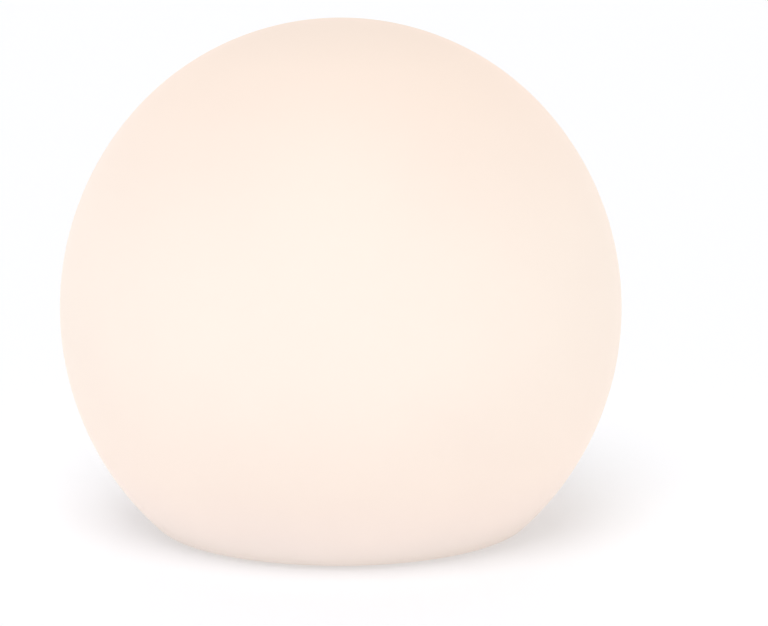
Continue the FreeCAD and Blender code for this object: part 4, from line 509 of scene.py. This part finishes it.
class Shaper:
    """A Geometry Nodes tree, built node by node."""

    def __init__(self, name):
        self.tree = bpy.data.node_groups.new(name, "GeometryNodeTree")
        self.tree.interface.new_socket("Geometry", in_out="INPUT", socket_type="NodeSocketGeometry")
        self.tree.interface.new_socket("Geometry", in_out="OUTPUT", socket_type="NodeSocketGeometry")
        self.inputs = self.tree.nodes.new("NodeGroupInput")
        self.geometry = self.inputs.outputs[0]

    def size(self, name, kind):
        """A named input of the tree."""
        self.tree.interface.new_socket(name, in_out="INPUT", socket_type=f"NodeSocket{kind}")
        return self.inputs.outputs[name]

    def add(self, kind, settings=None, inputs=None, output=0):
        """Adds a node, sets it, fills or links its inputs (a list is several links), and gives an output."""
        node = self.tree.nodes.new(kind)
        for key, value in (settings or {}).items():
            setattr(node, key, value)
        for key, value in (inputs or {}).items():
            if isinstance(value, (list, bpy.types.NodeSocket)):
                for link in value if isinstance(value, list) else [value]:
                    self.tree.links.new(link, node.inputs[key])
            else:
                node.inputs[key].default_value = value
        return node.outputs[output]

    def turn(self, profile, steps):
        """Carries a profile, drawn as (radius, height), round the z axis."""
        curve = self.add("GeometryNodeMeshToCurve", None, {0: profile})
        flipped = {"Geometry": curve, "Translation": (-PATH_RADIUS, 0, 0), "Scale": (1, -1, 1)}
        drawn = self.add("GeometryNodeTransform", None, flipped)
        path = self.add(
            "GeometryNodeCurvePrimitiveCircle", None, {"Resolution": steps, "Radius": PATH_RADIUS}
        )
        swept = self.add("GeometryNodeCurveToMesh", None, {"Curve": path, "Profile Curve": drawn})
        return self.add("GeometryNodeMergeByDistance", None, {"Geometry": swept, "Distance": MERGE_DISTANCE})

    def ring(self, shape, count, radius, start):
        """Copies of a shape spaced evenly on a circle, turned outwards, the first at the start angle."""
        index = self.add("GeometryNodeInputIndex")
        step = self.add("ShaderNodeMath", {"operation": "DIVIDE"}, {0: index, 1: count})
        turn = self.add("ShaderNodeMath", {"operation": "MULTIPLY_ADD"}, {0: step, 1: 2 * math.pi, 2: start})
        out = self.add("ShaderNodeCombineXYZ", None, {"X": radius})
        angle = self.add("ShaderNodeCombineXYZ", None, {"Z": turn})
        place = self.add(
            "ShaderNodeVectorRotate", {"rotation_type": "EULER_XYZ"}, {"Vector": out, "Rotation": angle}
        )
        points = self.add("GeometryNodePoints", None, {"Count": count, "Position": place})
        copies = {"Points": points, "Instance": shape, "Rotation": angle}
        placed = self.add("GeometryNodeInstanceOnPoints", None, copies)
        return self.add("GeometryNodeRealizeInstances", None, {0: placed})

    def pins(self, radius, top, count, circle, start):
        """Upright cylinders to cut with, from below the floor up to a height, spaced on a circle."""
        size = {"Vertices": SMALL_TURN_STEPS, "Radius": radius, "Depth": 2 * top}
        return self.ring(self.add("GeometryNodeMeshCylinder", None, size), count, circle, start)

    def finish(self, shape, material):
        """Smooth faces with sharp edges where they turn hard, the material, and the tree's output."""
        smooth = self.add("GeometryNodeSetShadeSmooth", None, {"Geometry": shape, "Shade Smooth": True})
        angle = self.add("GeometryNodeInputMeshEdgeAngle")
        hard = self.add("ShaderNodeMath", {"operation": "GREATER_THAN"}, {0: angle, 1: SHARP_ANGLE})
        sharp = self.add(
            "GeometryNodeSetShadeSmooth",
            {"domain": "EDGE"},
            {"Geometry": smooth, "Selection": hard, "Shade Smooth": False},
        )
        painted = self.add("GeometryNodeSetMaterial", None, {"Geometry": sharp, "Material": material})
        output = self.tree.nodes.new("NodeGroupOutput")
        self.tree.links.new(painted, output.inputs[0])


def outline_object(name, points=()):
    """An object that holds a profile's points and the edges between them."""
    mesh = bpy.data.meshes.new(name)
    edges = [(i, i + 1) for i in range(len(points) - 1)]
    mesh.from_pydata([(x, y, 0) for x, y in points], edges, [])
    thing = bpy.data.objects.new(name, mesh)
    bpy.context.scene.collection.objects.link(thing)
    return thing


def shaped(thing, shaper, **sizes):
    """Runs a tree on an object and keeps the result as its plain mesh."""
    modifier = thing.modifiers.new("shape", "NODES")
    modifier.node_group = shaper.tree
    for item in shaper.tree.interface.items_tree:
        name = item.name.replace(" ", "_").lower()
        if item.in_out == "INPUT" and name in sizes:
            modifier[item.identifier] = sizes[name]
    evaluated = thing.evaluated_get(bpy.context.evaluated_depsgraph_get())
    mesh = bpy.data.meshes.new_from_object(evaluated)
    thing.modifiers.remove(modifier)
    thing.data = mesh
    mesh.name = thing.name


# ---- the foot pads, their dimples and the screw bosses, as built ----

FOOT_COUNT = 4
FOOT_ANGLE = math.radians(45)
FOOT_CIRCLE = 80.01 * MM
FOOT_RADIUS = 6 * MM
FOOT_CLEARANCE = 0.3 * MM
FOOT_THICKNESS = 1.5 * MM
FOOT_ROUND = 0.4 * MM
FOOT_GROOVES = (3.8 * MM, 2.2 * MM)  # radii of the two grooves in a pad's sole
FOOT_GROOVE_RADIUS = 0.35 * MM
DIMPLE_TOP = FLAT_Z + 0.7 * MM
BOSS_COUNT = 6
BOSS_ANGLE = 0.0
BOSS_CIRCLE = 59.31 * MM
BOSS_RADIUS = 6 * MM
BOSS_HEIGHT = 9 * MM
BOSS_ROUND = 0.8 * MM
BOSS_FLARE = 0.4 * MM
BOSS_ROOT = 1 * MM  # how far it starts inside the ledge
INSERT_HOLE_RADIUS = 3.15 * MM
INSERT_HOLE_DEPTH = 7 * MM


def boss_profile():
    """A screw boss's half section, with a rounded head and a flared foot in the ledge."""
    top = LEDGE_Z + BOSS_HEIGHT
    seat = LEDGE_Z + WALL
    points = [(0, top)]
    points += small_arc((BOSS_RADIUS - BOSS_ROUND, top - BOSS_ROUND), BOSS_ROUND, math.pi / 2, 0)
    points += [(BOSS_RADIUS, seat + BOSS_FLARE), (BOSS_RADIUS + BOSS_FLARE, seat - BOSS_FLARE)]
    return points + [(BOSS_RADIUS, LEDGE_Z + BOSS_ROOT), (0, LEDGE_Z + BOSS_ROOT)]


def make_globe(finishes):
    """The opal shell: its turned wall, the bosses on its ledge, and a dimple for each foot pad."""
    shaper = Shaper("opal_globe")
    steps = shaper.size("Steps", "Int")
    feet = [shaper.size(*item) for item in (("Foot Count", "Int"), ("Foot Circle", "Float"))]
    bosses = [shaper.size(*item) for item in (("Boss Count", "Int"), ("Boss Circle", "Float"))]
    section = shaper.size("Boss Section", "Object")
    wall = shaper.turn(shaper.geometry, steps)
    outline = shaper.add("GeometryNodeObjectInfo", None, {"Object": section}, "Geometry")
    posts = shaper.ring(shaper.turn(outline, SMALL_TURN_STEPS), *bosses, BOSS_ANGLE)
    joined = shaper.add("GeometryNodeMeshBoolean", {"operation": "UNION"}, {"Mesh 2": [wall, posts]})
    dimples = shaper.pins(FOOT_RADIUS + FOOT_CLEARANCE, DIMPLE_TOP, *feet, FOOT_ANGLE)
    holes = shaper.pins(INSERT_HOLE_RADIUS, LEDGE_Z + INSERT_HOLE_DEPTH, *bosses, BOSS_ANGLE)
    cut = {"Mesh 1": joined, "Mesh 2": [dimples, holes]}
    shell = shaper.add("GeometryNodeMeshBoolean", {"operation": "DIFFERENCE"}, cut)
    shaper.finish(shell, finishes["opal_plastic"])
    globe = outline_object("opal_globe", globe_profile())
    boss_outline = outline_object("boss_section", boss_profile())
    shaped(
        globe,
        shaper,
        steps=TURN_STEPS,
        foot_count=FOOT_COUNT,
        foot_circle=FOOT_CIRCLE,
        boss_count=BOSS_COUNT,
        boss_circle=BOSS_CIRCLE,
        boss_section=boss_outline,
    )
    bpy.data.objects.remove(boss_outline)
    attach(globe, "globe_light")
    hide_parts("globe_shell")


def foot_profile():
    """A pad's half section: a flat sole with two round grooves, and a rounded rim."""
    points = [(0, FOOT_THICKNESS), (FOOT_RADIUS, FOOT_THICKNESS)]
    points += small_arc((FOOT_RADIUS - FOOT_ROUND, FOOT_ROUND), FOOT_ROUND, 0, -math.pi / 2)
    for groove in FOOT_GROOVES:
        points += small_arc((groove, 0), FOOT_GROOVE_RADIUS, 0, math.pi)
    return points + [(0, 0)]


def make_foot_pads(finishes):
    """Four grooved rubber pads."""
    shaper = Shaper("foot_pads")
    count = shaper.size("Foot Count", "Int")
    circle = shaper.size("Foot Circle", "Float")
    pad = shaper.turn(shaper.geometry, SMALL_TURN_STEPS)
    shaper.finish(shaper.ring(pad, count, circle, FOOT_ANGLE), finishes["grey_rubber"])
    pads = outline_object("grooved_foot_pads", foot_profile())
    shaped(pads, shaper, foot_count=FOOT_COUNT, foot_circle=FOOT_CIRCLE)
    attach(pads, "globe_light")
    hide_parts("foot_pads")


# ---- the button's return spring ----

SPRING_RADIUS = 4.6 * MM
SPRING_WIRE = 0.3 * MM  # its wire's radius
SPRING_TURNS = 4
SPRING_FOOT = 8.0 * MM
SPRING_ROOF = 13.5 * MM
SPRING_STEPS_PER_TURN = 36
WIRE_SIDES = 10


def joint_named(name):
    return next(joint for joint in frame["joints"] if joint["name"] == name)


def make_button_spring(finishes):
    """The return spring, a coil of steel wire as tall as the model's spring."""
    shaper = Shaper("button_spring_coil")
    turns = shaper.size("Turns", "Float")
    radius = shaper.size("Radius", "Float")
    wire = shaper.size("Wire", "Float")
    rise = shaper.size("Rise", "Float")
    foot = shaper.size("Foot", "Float")
    coil = {"Resolution": SPRING_STEPS_PER_TURN, "Rotations": turns, "Height": rise}
    coil |= {"Start Radius": radius, "End Radius": radius}
    line = shaper.add("GeometryNodeCurveSpiral", None, coil)
    section = shaper.add(
        "GeometryNodeCurvePrimitiveCircle", None, {"Resolution": WIRE_SIDES, "Radius": wire}
    )
    tube = {"Curve": line, "Profile Curve": section, "Fill Caps": True}
    swept = shaper.add("GeometryNodeCurveToMesh", None, tube)
    lift = shaper.add("ShaderNodeCombineXYZ", None, {"Z": foot})
    placed = shaper.add("GeometryNodeTransform", None, {"Geometry": swept, "Translation": lift})
    shaper.finish(placed, finishes["spring_steel"])
    spring = outline_object("button_return_spring")
    sizes = {"turns": float(SPRING_TURNS), "radius": SPRING_RADIUS, "wire": SPRING_WIRE}
    low, high = (corner.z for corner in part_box("button_spring"))
    shaped(spring, shaper, **sizes, foot=low + SPRING_WIRE, rise=high - low - 2 * SPRING_WIRE)
    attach(spring, "globe_light")
    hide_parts("button_spring")
    travel = joint_named("power_button_press")["range_m"][1]
    keep = 1 - travel / (SPRING_ROOF - SPRING_FOOT)
    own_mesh(spring)


# ---- the web of the cap's hinge: from the hinge's axis out to the cap ----

HINGE_WIDTH = 4.4 * MM
HINGE_THICKNESS = 0.9 * MM
HINGE_LENGTH = 1.5 * MM
HINGE_WAIST = 0.25  # the share of its thickness that it loses in the middle
HINGE_BEND_START = 0.4 * MM
HINGE_BEND_END = 1.2 * MM
HINGE_STEPS = 10


def make_cap_hinge(finishes):
    """The thin web of the cap's tether, between the fixed end and the cap."""
    x, y, z = joint_named("port_cap_hinge")["pos_m"]
    mesh = bpy.data.meshes.new("cap_hinge_web")
    shape = bmesh.new()
    rings = []
    for i in range(HINGE_STEPS + 1):
        along = y + HINGE_LENGTH * i / HINGE_STEPS
        waist = 1 - HINGE_WAIST * math.sin(math.pi * i / HINGE_STEPS)
        half_width, half_height = HINGE_WIDTH / 2, HINGE_THICKNESS / 2 * waist
        corners = ((-1, -1), (1, -1), (1, 1), (-1, 1))
        ring = [shape.verts.new((x + a * half_width, along, z + b * half_height)) for a, b in corners]
        rings.append(ring)
    for near, far in zip(rings, rings[1:]):
        for k in range(4):
            shape.faces.new((near[k], near[(k + 1) % 4], far[(k + 1) % 4], far[k]))
    shape.faces.new(rings[0])
    shape.faces.new(rings[-1])
    bmesh.ops.recalc_face_normals(shape, faces=shape.faces)
    shape.to_mesh(mesh)
    shape.free()
    mesh.materials.append(finishes["cap_rubber"])
    web = bpy.data.objects.new("cap_hinge_web", mesh)
    bpy.context.scene.collection.objects.link(web)
    start, end = (x, y + HINGE_BEND_START, z), (x, y + HINGE_BEND_END, z)
    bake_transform(web)


def paint_model(finishes):
    """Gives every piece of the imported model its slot's finish."""
    for subpart in frame["record"]["subparts"]:
        node = frame["nodes"][subpart["node"]]
        node.data.materials.clear()
        node.data.materials.append(finishes[subpart["material_slot"]])


# ---- stage ----

BACKDROP_COLOUR = (1.0, 0.973, 1.0)
# a cool white mixed into what the camera sees of the floor, against the globe's warm light on it
FLOOR_SHOWN = (0.91, 0.985, 1.0)
FLOOR_SHOWN_SHARE = 0.32
FLOOR_CLOUD = 400 * MM
FLOOR_RADIUS = 30.0
FLOOR_OPENING = 87 * MM  # below the globe, out of sight from above; lets light reach the underside
FLOOR_DROP = 0.2 * MM  # below the pads, so that the two faces don't lie in one plane
FLOOR_STEPS = 48
SKY_LEFT = (0.97, 0.995, 1.04)
SKY_RIGHT = (1.03, 1.0, 0.95)
AMBIENT = 0.55
LAMP_DISTANCE = 3.0
# each lamp: strength, then degrees of elevation, azimuth from the camera's side to the right, and spread
LAMPS = {
    "key": (1.32, 61, -9, 36),
    "back": (0.4, 62, 180, 45),
}


def make_floor():
    """A pale floor with an opening under the globe. From below it is clear, so the underside shows."""
    finish = Finish("floor")
    tone = finish.noise(FLOOR_CLOUD, detail=2)
    colour = finish.mix(tone, BACKDROP_COLOUR, shade(BACKDROP_COLOUR, 0.998))
    paper = finish.node("ShaderNodeBsdfDiffuse", None, {"Color": colour})
    clear = finish.node("ShaderNodeBsdfTransparent")
    below = finish.node("ShaderNodeNewGeometry", output="Backfacing")
    bright = finish.node("ShaderNodeEmission", None, {"Color": opaque(FLOOR_SHOWN)})
    shown = finish.seen_by_camera_and_gloss() * FLOOR_SHOWN_SHARE
    top = finish.node("ShaderNodeMixShader", None, {0: shown, 1: paper, 2: bright})
    finish.end(finish.node("ShaderNodeMixShader", None, {0: below, 1: top, 2: clear}))
    points, faces = [], []
    for i in range(FLOOR_STEPS):
        angle = 2 * math.pi * i / FLOOR_STEPS
        for radius in (FLOOR_OPENING, FLOOR_RADIUS):
            points.append((radius * math.cos(angle), radius * math.sin(angle), -FLOOR_DROP))
        here, there = 2 * i, 2 * ((i + 1) % FLOOR_STEPS)
        faces.append((here, here + 1, there + 1, there))
    mesh = bpy.data.meshes.new("floor")
    mesh.from_pydata(points, [], faces)
    floor = bpy.data.objects.new("floor", mesh)
    floor.data.materials.append(finish.material)
    bpy.context.scene.collection.objects.link(floor)


def make_world():
    """A pale sky, a little cooler on the left, which the camera, gloss and clear pieces see at full white."""
    world = bpy.data.worlds.new("studio")
    bpy.context.scene.world = world
    world.use_nodes = True
    sky = Shading(world.node_tree)
    side = sky.axes(sky.node("ShaderNodeTexCoord", output="Generated"))[0] * 0.5 + 0.5
    tint = sky.mix(side, SKY_LEFT, SKY_RIGHT)
    light = sky.node("ShaderNodeBackground", None, {"Color": tint, "Strength": AMBIENT})
    backdrop = sky.node("ShaderNodeBackground", None, {"Color": opaque(BACKDROP_COLOUR)})
    shown = sky.seen_by_camera_and_gloss()
    mixed = sky.node("ShaderNodeMixShader", None, {0: shown, 1: light, 2: backdrop})
    sky.node("ShaderNodeOutputWorld", None, {"Surface": mixed})


def make_lamp(name, strength, *angles):
    """A soft, even lamp from far away."""
    elevation, azimuth, spread = (math.radians(angle) for angle in angles)
    data = bpy.data.lights.new(name, "SUN")
    data.energy = strength
    data.angle = spread
    lamp = bpy.data.objects.new(name, data)
    towards = Vector(
        (
            math.sin(azimuth) * math.cos(elevation),
            -math.cos(azimuth) * math.cos(elevation),
            math.sin(elevation),
        )
    )
    lamp.location = towards * LAMP_DISTANCE
    lamp.rotation_euler = towards.to_track_quat("Z", "Y").to_euler()
    bpy.context.scene.collection.objects.link(lamp)


def main():
    bpy.context.scene.view_settings.view_transform = "Standard"
    make_camera()
    finishes = make_finishes()
    paint_model(finishes)
    make_globe(finishes)
    make_foot_pads(finishes)
    make_button_spring(finishes)
    make_cap_hinge(finishes)
    make_floor()
    make_world()
    for name, settings in LAMPS.items():
        make_lamp(name, *settings)


main()
